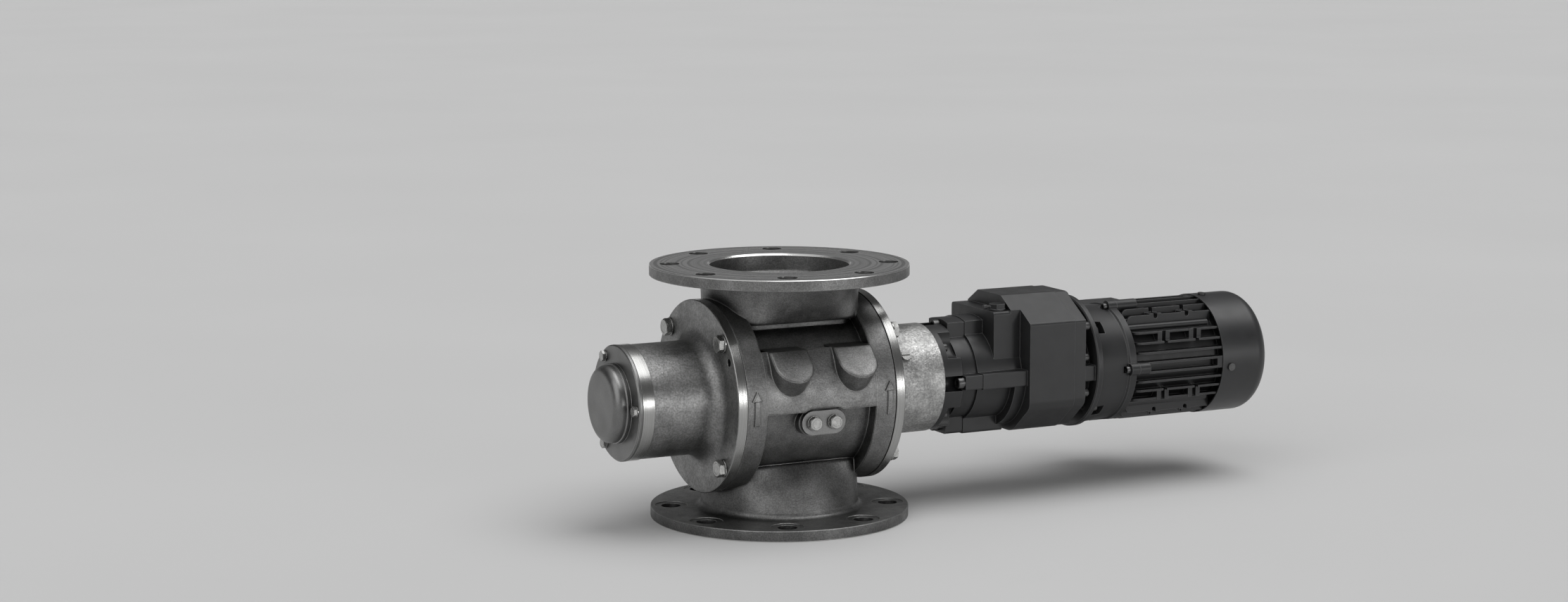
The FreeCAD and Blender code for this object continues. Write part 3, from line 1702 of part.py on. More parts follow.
def foot_pads():
    """Slotted pads between the last two fins of the +Y side, where feet can be screwed on."""
    near = (fin_pairs - 1.5) * fin_pitch
    far = (fin_pairs - 0.5) * fin_pitch + fin_thickness / 2.0
    reach = fin_reach(far) + foot_pad_height
    inner = math.sqrt(housing_radius**2 - near**2) - fin_root
    pads = []
    for place in foot_pad_places:
        low = housing_start + place - foot_pad_length / 2.0
        for side in (-1, 1):
            ends = sorted((axis_height + side * near, axis_height + side * far))
            pads.append(box(low, low + foot_pad_length, inner, reach, ends[0], ends[1]))
    return pads


def foot_slots():
    """Round-bottomed slots across the pads of the +Y side."""
    near = (fin_pairs - 1.5) * fin_pitch - fin_thickness
    far = (fin_pairs - 0.5) * fin_pitch + fin_thickness
    reach = fin_reach(far - fin_thickness / 2.0) + foot_pad_height
    half = foot_pad_slot / 2.0
    bottom = reach - foot_pad_slot_depth + half
    slots = []
    for place in foot_pad_places:
        x = housing_start + place
        for side in (-1, 1):
            ends = sorted((axis_height + side * near, axis_height + side * far))
            slots.append(box(x - half, x + half, bottom, fin_radius + 1, ends[0], ends[1]))
            slots.append(post(ends[0], ends[1], half, x, bottom))
    return slots


def stator_housing():
    """Stator housing with four sides of fins, slotted foot pads, tie bars and screw ears."""
    shapes = [bar(housing_start, housing_end, housing_radius)]
    cuts = [bar(housing_start - 1, housing_end + 1, housing_bore)]
    for quarter in range(4):
        for shape in side_fins() + channel_ends():
            shapes.append(about_axis(shape, 90 * quarter))
    for quarter in (1, 2, 3):
        for shape in foot_pads():
            shapes.append(about_axis(shape, 90 * quarter))
        for slot in foot_slots():
            cuts.append(about_axis(slot, 90 * quarter))
    for y, z in ring_places(4, 2 * (housing_radius + tie_bar_radius / 2.0), 45):
        shapes.append(bar(housing_start, housing_end - tie_bar_gap, tie_bar_radius, y, z))
    for index, angle in enumerate(ear_angles):
        length = top_ear_length if index % 2 else side_ear_length
        shapes.append(ear(housing_start, housing_start + length, housing_radius - fin_root, angle))
    for y, z in ear_places():
        screw_end = ring_start + tie_screw_length + 1
        cuts.append(bar(housing_start - 1, screw_end, tie_screw_diameter / 2.0, y, z))
    return joined(shapes).cut(cuts)


def stator_core():
    """Laminated stator core."""
    start = housing_start + core_start
    return tube(start, start + core_length, housing_bore - bearing_fit, core_inner_radius)


def stator_windings():
    """Winding heads at both ends of the stator core."""
    start = housing_start + core_start
    rings = []
    for low in (start - winding_length, start + core_length):
        corners = [
            (low, winding_inner_radius, -winding_bevel),
            (low, winding_outer_radius, -winding_bevel),
            (low + winding_length, winding_outer_radius, -winding_bevel),
            (low + winding_length, winding_inner_radius, -winding_bevel),
        ]
        rings.append(turned(corners))
    return group(rings)


def motor_rotor():
    """Squirrel-cage rotor pack with its end rings."""
    start = housing_start + core_start
    end = start + core_length
    outer = core_inner_radius - air_gap
    ring_outer = outer - end_ring_step
    ring_inner = outer - end_ring_depth
    corners = [
        (start - end_ring_length, ring_inner, 0),
        (start - end_ring_length, ring_outer, 0),
        (start, ring_outer, 0),
        (start, outer, 0),
        (end, outer, 0),
        (end, ring_outer, 0),
        (end + end_ring_length, ring_outer, 0),
        (end + end_ring_length, ring_inner, 0),
        (end, ring_inner, 0),
        (end, motor_shaft_radius + hub_fit, 0),
        (start, motor_shaft_radius + hub_fit, 0),
        (start, ring_inner, 0),
    ]
    return turned(corners)


def end_shield_bearing_start():
    """X of the fan-end motor bearing."""
    return housing_end - motor_bearing_width + shield_spigot


def end_shield():
    """Fan-side end shield with its bearing seat."""
    seat = end_shield_bearing_start()
    seat_end = seat + motor_bearing_width
    corners = [
        (seat, motor_bearing_radius + bearing_fit, 0),
        (seat, motor_bearing_radius + shield_hub_wall, 0),
        (housing_end - shield_spigot, motor_bearing_radius + shield_hub_wall, 0),
        (housing_end - shield_spigot, housing_bore - spigot_clearance, 0),
        (housing_end, housing_bore - spigot_clearance, 0),
        (housing_end, housing_radius, 0),
        (housing_end + end_shield_rim, housing_radius, 0),
        (housing_end + end_shield_rim, housing_radius - shield_plate, 0),
        (housing_end + shield_plate, housing_radius - shield_plate, 0),
        (housing_end + end_shield_thickness, motor_bearing_radius + shield_cone_wall, 0),
        (housing_end + end_shield_thickness, motor_shaft_radius + shaft_gap, 0),
        (seat_end, motor_shaft_radius + shaft_gap, 0),
        (seat_end, motor_bearing_radius + bearing_fit, 0),
    ]
    return turned(corners)


def motor_shaft():
    """Motor shaft from the pinion to the fan."""
    low = case_start + input_wheel_start - pinion_overlap - 1
    step = case_end - 2 * counter_overlap
    end = housing_end + end_shield_thickness + fan_clearance + fan_width + shaft_gap
    corners = [
        (low, 0, 0),
        (low, pinion_journal_radius, 0),
        (step, pinion_journal_radius, 0),
        (step, motor_shaft_radius, 0),
        (end - motor_shaft_chamfer, motor_shaft_radius, 0),
        (end, motor_shaft_radius - motor_shaft_chamfer, 0),
        (end, 0, 0),
    ]
    return turned(corners)


def motor_bearing_places():
    """(x, width, bore radius, outer radius, wall, height) of the motor's bearings."""
    sizes = (motor_bearing_width, motor_shaft_radius, motor_bearing_radius, motor_bearing_wall, axis_height)
    return [(x, *sizes) for x in (motor_bearing_start(), end_shield_bearing_start())]


def motor_bearing_outer_rings():
    """Outer rings of the motor's bearings."""
    rings = []
    for x, width, bore, outer, wall, height in motor_bearing_places():
        rings.append(tube(x, x + width, outer, outer - wall, height))
    return group(rings)


def motor_shaft_seal():
    """Oil seal between the gear cover and the motor shaft."""
    start = adapter_start - motor_seal_width
    return tube(start, adapter_start, seal_radius_motor(), motor_shaft_radius + seal_lip_gap)


def fan():
    """Radial cooling fan on the motor shaft's tail."""
    low = housing_end + end_shield_thickness + fan_clearance
    hub_radius = motor_shaft_radius + fan_hub_wall
    hub = tube(low, low + fan_width, hub_radius, motor_shaft_radius + hub_fit)
    plate = tube(low, low + fan_plate, fan_radius, hub_radius - fan_hub_wall / 2.0)
    half = fan_blade_thickness / 2.0
    blade = box(low + 1, low + fan_width, hub_radius - 2, fan_radius, axis_height - half, axis_height + half)
    blades = [about_axis(blade, 360.0 * index / fan_blades) for index in range(fan_blades)]
    return joined([hub, plate] + blades)


def fan_cowl():
    """Pressed fan cowl with a slotted grille in its end."""
    start = housing_end
    inner = cowl_radius - cowl_wall
    corners = [
        (start, inner, 0),
        (start, cowl_radius, 0),
        (cowl_end, cowl_radius, cowl_rounding),
        (cowl_end, 0, 0),
        (cowl_end - cowl_wall, 0, 0),
        (cowl_end - cowl_wall, inner, cowl_rounding - cowl_wall),
    ]
    cowl = turned(corners)
    cuts = []
    low = cowl_end - cowl_wall - 1
    for radius in cowl_slot_radii:
        inside = radius - cowl_slot_width / 2.0
        outside = radius + cowl_slot_width / 2.0
        for quarter in range(4):
            first = 90 * quarter + cowl_slot_bridge
            last = 90 * (quarter + 1) - cowl_slot_bridge
            cuts.append(sector(low, cowl_end + 1, inside, outside, first, last))
    for y, z in cowl_screw_places():
        cuts.append(radial_bar(y, z, inner - 2, cowl_radius + 2, cowl_screw_radius + screw_hole_gap))
    return cowl.cut(cuts)


def cowl_screw_places():
    """Unit directions of the cowl screws, as (y, z) about the axis."""
    step = 360.0 / cowl_screw_count
    return [on_circle(1.0, cowl_screw_turn + step * index, 0.0) for index in range(cowl_screw_count)]


def radial_bar(y, z, inner, outer, radius):
    """Radial cylinder near the cowl's open edge."""
    direction = Vector(0, y, z)
    start = Vector(housing_end + cowl_screw_offset, 0, axis_height) + direction * inner
    return Part.makeCylinder(radius, outer - inner, start, direction)


def cowl_brackets():
    """Round lugs on the end shield's rim that the cowl screws enter."""
    foot = housing_radius - cowl_lug_foot
    reach = cowl_radius - cowl_wall - screw_hole_gap
    radius = cowl_screw_radius + cowl_screw_rim
    return [radial_bar(y, z, foot, reach, radius) for y, z in cowl_screw_places()]


def end_shield_with_lugs():
    """End shield with the four lugs that carry the cowl."""
    shield = joined([end_shield()] + cowl_brackets())
    hole_start = housing_radius - 2 * cowl_lug_foot
    cuts = [radial_bar(y, z, hole_start, cowl_radius, cowl_screw_radius) for y, z in cowl_screw_places()]
    return shield.cut(cuts)


def cowl_screws():
    """Pan-head screws of the fan cowl."""
    screws = []
    head_radius = cowl_screw_radius + cowl_screw_rim
    for y, z in cowl_screw_places():
        head = radial_bar(y, z, cowl_radius, cowl_radius + cowl_screw_head, head_radius)
        stem = radial_bar(y, z, housing_radius + 1, cowl_radius + 1, cowl_screw_radius - bearing_fit)
        screws.append(head.fuse(stem))
    return group(screws)


def box_corners(inset):
    """Outline of the terminal box in X and Z, drawn inwards by an inset."""
    low_x = housing_start + box_start + inset
    high_x = housing_start + box_start + box_length - inset
    low_z = axis_height - box_height / 2.0 + inset
    high_z = axis_height + box_height / 2.0 - inset
    rounding = max(box_rounding - inset, least_rounding)
    return [
        (low_x, low_z, rounding),
        (high_x, low_z, rounding),
        (high_x, high_z, rounding),
        (low_x, high_z, rounding),
    ]


def terminal_box():
    """Terminal box on the rear of the stator housing, with its two blanked entries below."""
    high = box_low + box_depth
    inside = slab_y(box_corners(box_wall), box_low + box_floor, high + 1)
    shell = slab_y(box_corners(0.0), box_low, high).cut(inside)
    saddle = slab_y(box_corners(saddle_inset), housing_radius - saddle_depth, box_low + 1)
    shell = shell.fuse(saddle)
    shell = shell.cut(bar(housing_start - 1, housing_end + 1, fin_radius + box_fit))
    for x, y, z in entry_places():
        shell = shell.cut(post(z - 1, z + box_wall + 1, gland_radius - gland_step, x, y))
    return shell


def entry_places():
    """(x, y, z) of the two cable entries, at the underside of the terminal box."""
    middle = housing_start + box_start + box_length / 2.0
    y = box_low + box_depth / 2.0 + entry_offset
    z = axis_height - box_height / 2.0
    return [(middle + side * entry_spacing / 2.0, y, z) for side in (-1, 1)]


def terminal_lid():
    """Lid of the terminal box."""
    low = box_low + box_depth
    lid = slab_y(box_corners(0.0), low, low + lid_thickness)
    return lid.cut(slab_y(box_corners(box_wall), low - 1, low + lid_thickness - lid_plate))


def entry_plugs():
    """Blanking plugs in the cable entries."""
    plugs = []
    for x, y, z in entry_places():
        head = post(z - gland_length, z, gland_radius, x, y)
        stem = post(z - 1, z + box_wall, gland_radius - gland_step - screw_hole_gap, x, y)
        plugs.append(joined([head, stem]))
    return group(plugs)


def lid_screws():
    """Screws of the terminal box lid."""
    face = box_low + box_depth + lid_thickness
    screws = []
    for x, z, radius in sorted(box_corners(box_rounding)):
        screws.append(y_bore(x, z, face, face + lid_screw_height, lid_screw_radius))
    return group(screws)


def write_all():
    """Write every sub-part."""
    os.makedirs("parts", exist_ok=True)
    save("body_casting", body_casting())
    save("free_end_cover", free_end_cover())
    save("drive_end_cover", drive_end_cover())
    save("end_cover_bolts", end_cover_bolts())
    save("lantern_plug", lantern_plug())
    save("port_plate", port_plate())
    save("port_bolts", port_bolts())
    save("bearing_cap", bearing_cap())
    save("bearing_cap_screws", bearing_cap_screws())
    save("shaft_seals", shaft_seals())
    save("rotor_bearing_outer_rings", rotor_bearing_outer_rings())
    save("rotor_bearing_inner_rings", rotor_bearing_inner_rings())
    for end, name in enumerate(("free_end", "drive_end")):
        save(name + "_balls", group(balls(end, ball_radius)))
        save(name + "_ball_cage", ball_cage(end))
    save("rotor_shaft", rotor_shaft())
    save("rotor_vanes", rotor_vanes())
    save("shaft_key", shaft_key())
    save("retaining_ring", retaining_ring())
    save("output_flange", output_flange())
    save("output_flange_screws", case_screws())
    save("lantern_screws", lantern_screws())
    save("gear_case", gear_case())
    save("gear_cover", gear_cover())
    save("gear_cover_screws", gear_cover_screws())
    save("output_shaft", output_shaft())
    save("output_shaft_seal", output_shaft_seal())
    save("output_wheel", output_wheel())
    save("countershaft", countershaft())
    save("countershaft_wheel", countershaft_wheel())
    save("motor_pinion", motor_pinion())
    save("gear_bearing_outer_rings", gear_bearing_outer_rings())
    save("output_bearing_inner_rings", bearing_inner_rings(gear_bearing_places()[:2]))
    save("countershaft_bearing_inner_rings", bearing_inner_rings(gear_bearing_places()[2:]))
    save("vent_plug", vent_plug())
    save("drain_plug", drain_plug())
    save("motor_adapter", motor_adapter())
    save("motor_flange_screws", motor_flange_screws())
    save("motor_tie_screws", tie_screws())
    save("stator_housing", stator_housing())
    save("stator_core", stator_core())
    save("stator_windings", stator_windings())
    save("motor_rotor", motor_rotor())
    save("motor_end_shield", end_shield_with_lugs())
    save("motor_shaft", motor_shaft())
    save("motor_bearing_outer_rings", motor_bearing_outer_rings())
    save("motor_bearing_inner_rings", bearing_inner_rings(motor_bearing_places()))
    save("motor_shaft_seal", motor_shaft_seal())
    save("fan", fan())
    save("fan_cowl", fan_cowl())
    save("fan_cowl_screws", cowl_screws())
    save("terminal_box", terminal_box())
    save("terminal_box_lid", terminal_lid())
    save("terminal_box_screws", lid_screws())
    save("cable_entry_plugs", entry_plugs())


write_all()
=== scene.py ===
import math

import bmesh
import bpy
from mathutils import Matrix, Vector


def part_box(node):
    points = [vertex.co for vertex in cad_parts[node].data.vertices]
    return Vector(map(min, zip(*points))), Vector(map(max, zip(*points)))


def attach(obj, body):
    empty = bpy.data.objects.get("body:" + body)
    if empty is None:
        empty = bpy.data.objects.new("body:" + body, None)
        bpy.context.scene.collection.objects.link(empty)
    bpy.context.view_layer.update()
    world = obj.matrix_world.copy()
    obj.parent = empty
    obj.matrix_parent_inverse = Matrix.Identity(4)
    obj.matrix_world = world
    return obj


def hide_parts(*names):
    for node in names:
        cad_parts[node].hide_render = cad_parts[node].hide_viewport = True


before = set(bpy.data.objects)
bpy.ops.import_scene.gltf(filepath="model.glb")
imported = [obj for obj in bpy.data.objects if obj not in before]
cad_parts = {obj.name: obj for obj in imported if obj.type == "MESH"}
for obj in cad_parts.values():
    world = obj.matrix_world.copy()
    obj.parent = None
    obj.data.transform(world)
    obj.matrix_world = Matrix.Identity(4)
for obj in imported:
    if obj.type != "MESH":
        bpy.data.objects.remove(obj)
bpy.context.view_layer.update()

MM = 0.001

# Camera at the photograph's viewing angle, in metres and degrees
CAMERA_PLACE = (-1.4606, -2.9148, 0.7198)
CAMERA_YAW = 26.706
CAMERA_PITCH = 8.411
CAMERA_LENS = 69.08
CAMERA_REACH = 100.0
SENSOR_WIDTH = 36.0

# Suns of the studio, each with its direction, strength and spread in degrees
SUNS = {
    "top": ((-0.3, 0.1, -0.95), 1.3, 50),
    "key": ((0.74, 0.46, -0.6), 0.85, 60),
    "front": ((-0.38, 0.92, -0.06), 0.42, 12),
}

# Surroundings: grey levels from the horizon at 0 to straight up at 1, and the floor
SKY_LEVELS = ((0.0, 0.5), (0.06, 0.5), (0.2, 0.12), (0.66, 0.12), (0.86, 0.62), (1.0, 0.62))
FLOOR_HALF = 60.0
FLOOR_TONES = ((0.62, 0.62, 0.62), (0.64, 0.64, 0.64))
FLOOR_PATCH = 0.9
FLOOR_ROUGHNESS = 0.7
FLOOR_SPECULAR = 0.25

# Valve, worked out from the frame
FLANGE_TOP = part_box("body_casting")[1].z
FLANGE_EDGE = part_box("body_casting")[1].y
AXIS_Z = FLANGE_TOP / 2
COVER_RIM = (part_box("free_end_cover")[1].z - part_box("free_end_cover")[0].z) / 2
FREE_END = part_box("free_end_cover")[0].x

# Valve sizes that no box gives
PORT_RADIUS = 76.5 * MM
PORT_CHAMFER = 2 * MM
HOLE_CIRCLE = 120 * MM
HOLE_RADIUS = 11 * MM
HOLE_COUNT = 8
HOLE_FIRST = 22.5
END_FLANGE_RADIUS = 105 * MM
TURNED_BAND = 14 * MM
RING_START = 88 * MM
RING_FULL = 104 * MM

# Edge radii of the body: the cast one holds up to CAST_END along X and CAST_TOP above and below the axis
CAST_EDGE = 3.2 * MM
MACHINED_EDGE = 0.8 * MM
COVER_EDGE = 1.2 * MM
CAST_END = 85 * MM
CAST_TOP = 124 * MM
CAST_BLUR = 3 * MM

# Turned and bright places: how wide they are and how softly they end
FACE_DEPTH = 0.5 * MM
RIM_MARGIN = 0.3 * MM
HOLE_TRIM = 0.5 * MM
LIP_TRIM = 0.1 * MM
EDGE_TRIM = 0.5 * MM
EDGE_BLUR = 0.4 * MM
BAND_BLUR = 0.2 * MM
MASK_BLUR = 0.3 * MM

# Tool marks: their pitches, and how far each face's brushed normal tilts
BRUSH_PITCH = 0.2 * MM
FINE_PITCH = 1.3 * MM
RING_PITCH = 4.6 * MM
COVER_PITCH = 0.6 * MM
FLANGE_TILT = 0.24
COVER_TILT = 0.32

# Castings: darker tone, lighter tone, size of the grain and its depth
CASTINGS = {
    "blasted_casting": ((0.18, 0.18, 0.178), (0.28, 0.28, 0.277), 1.1 * MM, 0.24 * MM),
    "blasted_cover": ((0.23, 0.23, 0.228), (0.36, 0.36, 0.356), 1.5 * MM, 0.34 * MM),
    "rough_cover": ((0.32, 0.32, 0.316), (0.6, 0.6, 0.592), 1.8 * MM, 0.8 * MM),
}

# Bright metals: colour, lowest and highest roughness
METALS = {
    "bright_stainless": ((0.5, 0.5, 0.49), 0.22, 0.34),
    "dark_zinc": ((0.15, 0.15, 0.15), 0.34, 0.46),
    "turned_steel": ((0.55, 0.55, 0.55), 0.25, 0.38),
    "ground_steel": ((0.62, 0.62, 0.63), 0.12, 0.2),
    "gear_steel": ((0.45, 0.45, 0.45), 0.25, 0.38),
    "lamination_steel": ((0.3, 0.3, 0.32), 0.4, 0.5),
    "cage_brass": ((0.7, 0.52, 0.26), 0.25, 0.35),
    "enamelled_copper": ((0.55, 0.24, 0.1), 0.3, 0.4),
}

# Paints: colour, colour of worn edges with their painted highlight, size of the orange peel, its depth,
# lowest and highest roughness
PAINTS = {
    "graphite_paint": ((0.024, 0.0243, 0.0252), (0.26, 0.26, 0.262), 0.9 * MM, 0.05 * MM, 0.36, 0.46),
    "satin_paint": ((0.03, 0.0303, 0.0315), (0.22, 0.22, 0.222), 1.4 * MM, 0.03 * MM, 0.32, 0.4),
}

# Plastic and rubber: colour, roughness and size of the grain
DULL_THINGS = {
    "black_rubber": ((0.03, 0.03, 0.03), 0.6, 0.4 * MM),
    "black_plastic": ((0.035, 0.035, 0.037), 0.5, 0.6 * MM),
}

# Tones and roughness of other bare metal
SATIN_TONES = ((0.2, 0.2, 0.198), (0.26, 0.26, 0.257))
FLANGE_TONE = (0.52, 0.52, 0.515)
COVER_TONE = (0.52, 0.52, 0.51)
TRIM_TONE = (0.72, 0.72, 0.71)
# Edge colours: worn edges that also carry a painted highlight
EDGE_TONE = (0.6, 0.6, 0.59)
POLISHED_AND_HIGHLIT_EDGE = (0.7, 0.7, 0.69)
TURNED_ROUGHNESS = 0.24
TRIM_ROUGHNESS = 0.22

# Shading: the range that most noise fills, how open a corner is where its painted shade is darkest, and the
# cosine of the rounded normal's turn where the worn edge with its painted highlight starts and where it is
# full
NOISE_LOW = 0.3
NOISE_HIGH = 0.7
CORNER_FULL = 0.2
CORNER_SAMPLES = 6
WEAR_AND_HIGHLIGHT_START = 0.99
WEAR_AND_HIGHLIGHT_FULL = 0.86
EDGE_SAMPLES = 4
MIX_KINDS = ("FLOAT", "VECTOR", "RGBA")

# New meshes: steps of a ring, the angle in degrees from which an edge is sharp, and the gap that is welded
RING_STEPS = 48
SHARP_ANGLE = 28
WELD = 0.001 * MM
LEFT, RIGHT, FRONT = (-1, 0, 0), (1, 0, 0), (0, -1, 0)

# Screws, as shares of the thread's diameter, and the hexagon's chamfer in degrees
CORE_RADIUS = 0.42
THREAD_RADIUS = 0.49
TIP_LENGTH = 0.07
HEX_FLATS = 1.7
HEX_HEIGHT = 0.65
HEX_CHAMFER = 30
HEX_TOP = 0.95
HEX_FOOT = 0.82
WASHER_RADIUS = 1.0
WASHER_HEIGHT = 0.2
WASHER_BEVEL = 0.03
SOCKET_HEAD = 0.8
SOCKET_HEIGHT = 1.0
SOCKET_FLATS = 0.75
SOCKET_DEPTH = 0.55

# Raised arrows on the rims of the body's end flanges
ARROW_PLACES = (-78 * MM, 82 * MM)
ARROW_LOW = -18 * MM
ARROW_NECK = 9 * MM
ARROW_TIP = 19 * MM
ARROW_HALF_SHAFT = 3.1 * MM
ARROW_HALF_HEAD = 6.4 * MM
ARROW_HALF_TIP = 0.3 * MM
ARROW_BARB = 0.4 * MM
ARROW_HEIGHT = 1.7 * MM
ARROW_ROOT = 0.4 * MM
ARROW_SLOPE = 0.5 * MM
ARROW_STEPS = 6


class Finish:
    """A Principled material, with short calls that add the nodes behind its sockets."""

    def __init__(self, name, metallic, roughness):
        self.material = bpy.data.materials.new(name)
        self.material.use_nodes = True
        self.tree = self.material.node_tree
        self.shader = self.tree.nodes["Principled BSDF"]
        self.shader.inputs["Metallic"].default_value = metallic
        self.shader.inputs["Roughness"].default_value = roughness
        self.place = self.node("ShaderNodeTexCoord").outputs["Object"]

    def node(self, kind, inputs=None, **settings):
        """Adds a node; inputs maps a socket's name or number to a value or to another node's output."""
        made = self.tree.nodes.new(kind)
        for name, value in settings.items():
            setattr(made, name, value)
        for key, value in (inputs or {}).items():
            if isinstance(value, bpy.types.NodeSocket):
                self.tree.links.new(value, made.inputs[key])
            else:
                made.inputs[key].default_value = value
        return made

    def maths(self, operation, a, b=0.0):
        """Number made of one or two numbers."""
        return self.node("ShaderNodeMath", {0: a, 1: b}, operation=operation).outputs[0]

    def vector(self, operation, a, b=(0.0, 0.0, 0.0)):
        """Vector made of one or two vectors."""
        return self.node("ShaderNodeVectorMath", {0: a, 1: b}, operation=operation).outputs[0]

    def mix(self, kind, factor, a, b):
        """Number (FLOAT), vector (VECTOR) or colour (RGBA) that goes from a to b with the factor."""
        index = MIX_KINDS.index(kind)
        inputs = {"Factor": factor, 2 + 2 * index: a, 3 + 2 * index: b}
        return self.node("ShaderNodeMix", inputs, data_type=kind).outputs[index]

    def blend(self, factor, a, b):
        """Colour between a and b, each another node's output or three numbers."""
        ends = [end if isinstance(end, bpy.types.NodeSocket) else (*end, 1.0) for end in (a, b)]
        return self.mix("RGBA", factor, *ends)

    def noise(self, size, detail=2.0, place=None, rough=0.5):
        """Noise whose features are about size metres across."""
        inputs = {"Vector": place or self.place, "Scale": 1.0 / size, "Detail": detail, "Roughness": rough}
        return self.node("ShaderNodeTexNoise", inputs).outputs["Fac"]

    def spread(self, value, low, high, to_low=0.0, to_high=1.0):
        """Value carried from one range to another, and kept inside it."""
        inputs = {"Value": value, "From Min": low, "From Max": high, "To Min": to_low, "To Max": to_high}
        return self.node("ShaderNodeMapRange", inputs).outputs["Result"]

    def patches(self, size, low=0.0, high=1.0, detail=3.0):
        """Soft patches about size metres across, over the whole range from low to high."""
        return self.spread(self.noise(size, detail), NOISE_LOW, NOISE_HIGH, low, high)

    def beyond(self, value, limit, blur=MASK_BLUR):
        """1 from the limit on and 0 below it, with a soft start before it."""
        return self.spread(value, limit - blur, limit)

    def within(self, value, limit, blur=MASK_BLUR):
        """1 up to the limit and 0 past it, with a soft end after it."""
        return self.spread(value, limit + blur, limit)

    def axes(self):
        """Object position as three numbers."""
        return self.node("ShaderNodeSeparateXYZ", {0: self.place}).outputs

    def crevice(self, reach):
        """1 in the open and 0 deep in a corner."""
        made = self.node("ShaderNodeAmbientOcclusion", {"Distance": reach}, samples=CORNER_SAMPLES)
        return made.outputs["AO"]

    def rounded(self, radius):
        """Normal with the edges rounded off."""
        return self.node("ShaderNodeBevel", {"Radius": radius}, samples=EDGE_SAMPLES).outputs["Normal"]

    def edge_wear_and_highlight(self, radius):
        """1 on edges and 0 elsewhere: where edges are worn and carry a painted highlight."""
        true = self.node("ShaderNodeNewGeometry").outputs["True Normal"]
        inputs = {0: self.rounded(radius), 1: true}
        along = self.node("ShaderNodeVectorMath", inputs, operation="DOT_PRODUCT").outputs["Value"]
        return self.spread(along, WEAR_AND_HIGHLIGHT_START, WEAR_AND_HIGHLIGHT_FULL)

    def bump(self, height, depth, normal=None):
        """Normal bumped by a height from 0 to 1, worth depth metres."""
        inputs = {"Height": height, "Distance": depth, "Strength": 1.0}
        if normal is not None:
            inputs["Normal"] = normal
        return self.node("ShaderNodeBump", inputs).outputs["Normal"]

    def set(self, **sockets):
        """Links outputs to the shader's sockets; an underscore in a name stands for a space."""
        for name, value in sockets.items():
            self.tree.links.new(value, self.shader.inputs[name.replace("_", " ")])
        return self.material


def diagonal(finish, a, b):
    """Root of the sum of two numbers' squares."""
    squares = finish.maths("ADD", finish.maths("MULTIPLY", a, a), finish.maths("MULTIPLY", b, b))
    return finish.maths("SQRT", squares)


def distance_from_axis(finish, axis):
    """Distance from the rotor axis ("x") or from the flange axis ("z")."""
    x, y, z = finish.axes()
    if axis == "x":
        return diagonal(finish, y, finish.maths("SUBTRACT", z, AXIS_Z))
    return diagonal(finish, x, y)


def hole_distance(finish, radius):
    """Distance from the nearest flange hole's middle, seen from above."""
    x, y, z = finish.axes()
    step = 2 * math.pi / HOLE_COUNT
    angle = finish.maths("SUBTRACT", finish.maths("ARCTAN2", y, x), math.radians(HOLE_FIRST) - step / 2)
    folded = finish.maths("SUBTRACT", finish.maths("FLOORED_MODULO", angle, step), step / 2)
    along = finish.maths("MULTIPLY", folded, HOLE_CIRCLE)
    across = finish.maths("SUBTRACT", radius, HOLE_CIRCLE)
    return diagonal(finish, along, across)


def scaled(finish, tone, factor):
    """Colour times a number."""
    return finish.vector("MULTIPLY", tone, factor)


def speckled(finish, tone, size, darkest, brightest):
    """Colour that changes from speck to speck, between two shares of itself."""
    return scaled(finish, tone, finish.spread(finish.noise(size), 0.35, 0.68, darkest, brightest))


def shaded_in_corners(finish, tone, reach, darkest, bright_from=0.9):
    """Colour with painted shade in corners: darker there, down to a share of itself."""
    return scaled(finish, tone, finish.spread(finish.crevice(reach), CORNER_FULL, bright_from, darkest, 1.0))


def worn_and_highlit(finish, tone, radius, share, edge):
    """Colour that turns to the edge colour, by a share, along edges: lighter worn edges with a painted
    highlight.
    """
    return finish.blend(finish.maths("MULTIPLY", finish.edge_wear_and_highlight(radius), share), tone, edge)


def blasted(finish, name, soften):
    """Tone, roughness and normal of blasted metal, mottled and grained, with painted shade in its corners,
    lighter worn edges with a painted highlight, and its edges rounded off.
    """
    dark, light, grain, depth = CASTINGS[name]
    mottle = finish.spread(finish.noise(28 * MM, detail=4.0, rough=0.62), 0.32, 0.68)
    tone = finish.blend(mottle, dark, light)
    tone = speckled(finish, tone, 1.3 * grain, 0.74, 1.16)
    # Painted shade: darker in corners, from how open each point is
    tone = shaded_in_corners(finish, tone, 35 * MM, 0.3, 0.92)
    # Lighter worn edges, with a painted highlight along them
    tone = worn_and_highlit(finish, tone, 1.0 * MM, 0.75, EDGE_TONE)
    lumps = finish.noise(3.2 * grain)
    fine = finish.noise(grain, detail=3.0, rough=0.65)
    height = finish.maths("ADD", finish.maths("MULTIPLY", lumps, 0.9), finish.maths("MULTIPLY", fine, 0.6))
    normal = finish.bump(height, depth, finish.rounded(soften))
    return tone, finish.patches(12 * MM, 0.38, 0.5), normal


def turned_grooves(finish, along, pitch, detail=1.0):
    """Tool marks that vary only along one number."""
    place = finish.node("ShaderNodeCombineXYZ", {0: along}).outputs[0]
    return finish.noise(pitch, detail, place)


def flange_marks(finish, radius):
    """Tool marks of the flange faces: mostly fine ones near the port and mostly deep rings further out."""
    fine = turned_grooves(finish, radius, FINE_PITCH)
    rings = finish.spread(turned_grooves(finish, radius, RING_PITCH, 0.0), 0.36, 0.58)
    outer = finish.spread(radius, RING_START, RING_FULL, 0.15, 0.85)
    return finish.mix("FLOAT", outer, fine, rings)


def brushed(finish, normal, along, direction, reach):
    """Normal tilted to and fro along a direction, as fine tool marks tilt it."""
    tilt = finish.spread(turned_grooves(finish, along, BRUSH_PITCH), 0.2, 0.8, -reach, reach)
    shift = finish.vector("MULTIPLY", direction, tilt)
    return finish.vector("NORMALIZE", finish.vector("ADD", normal, shift))


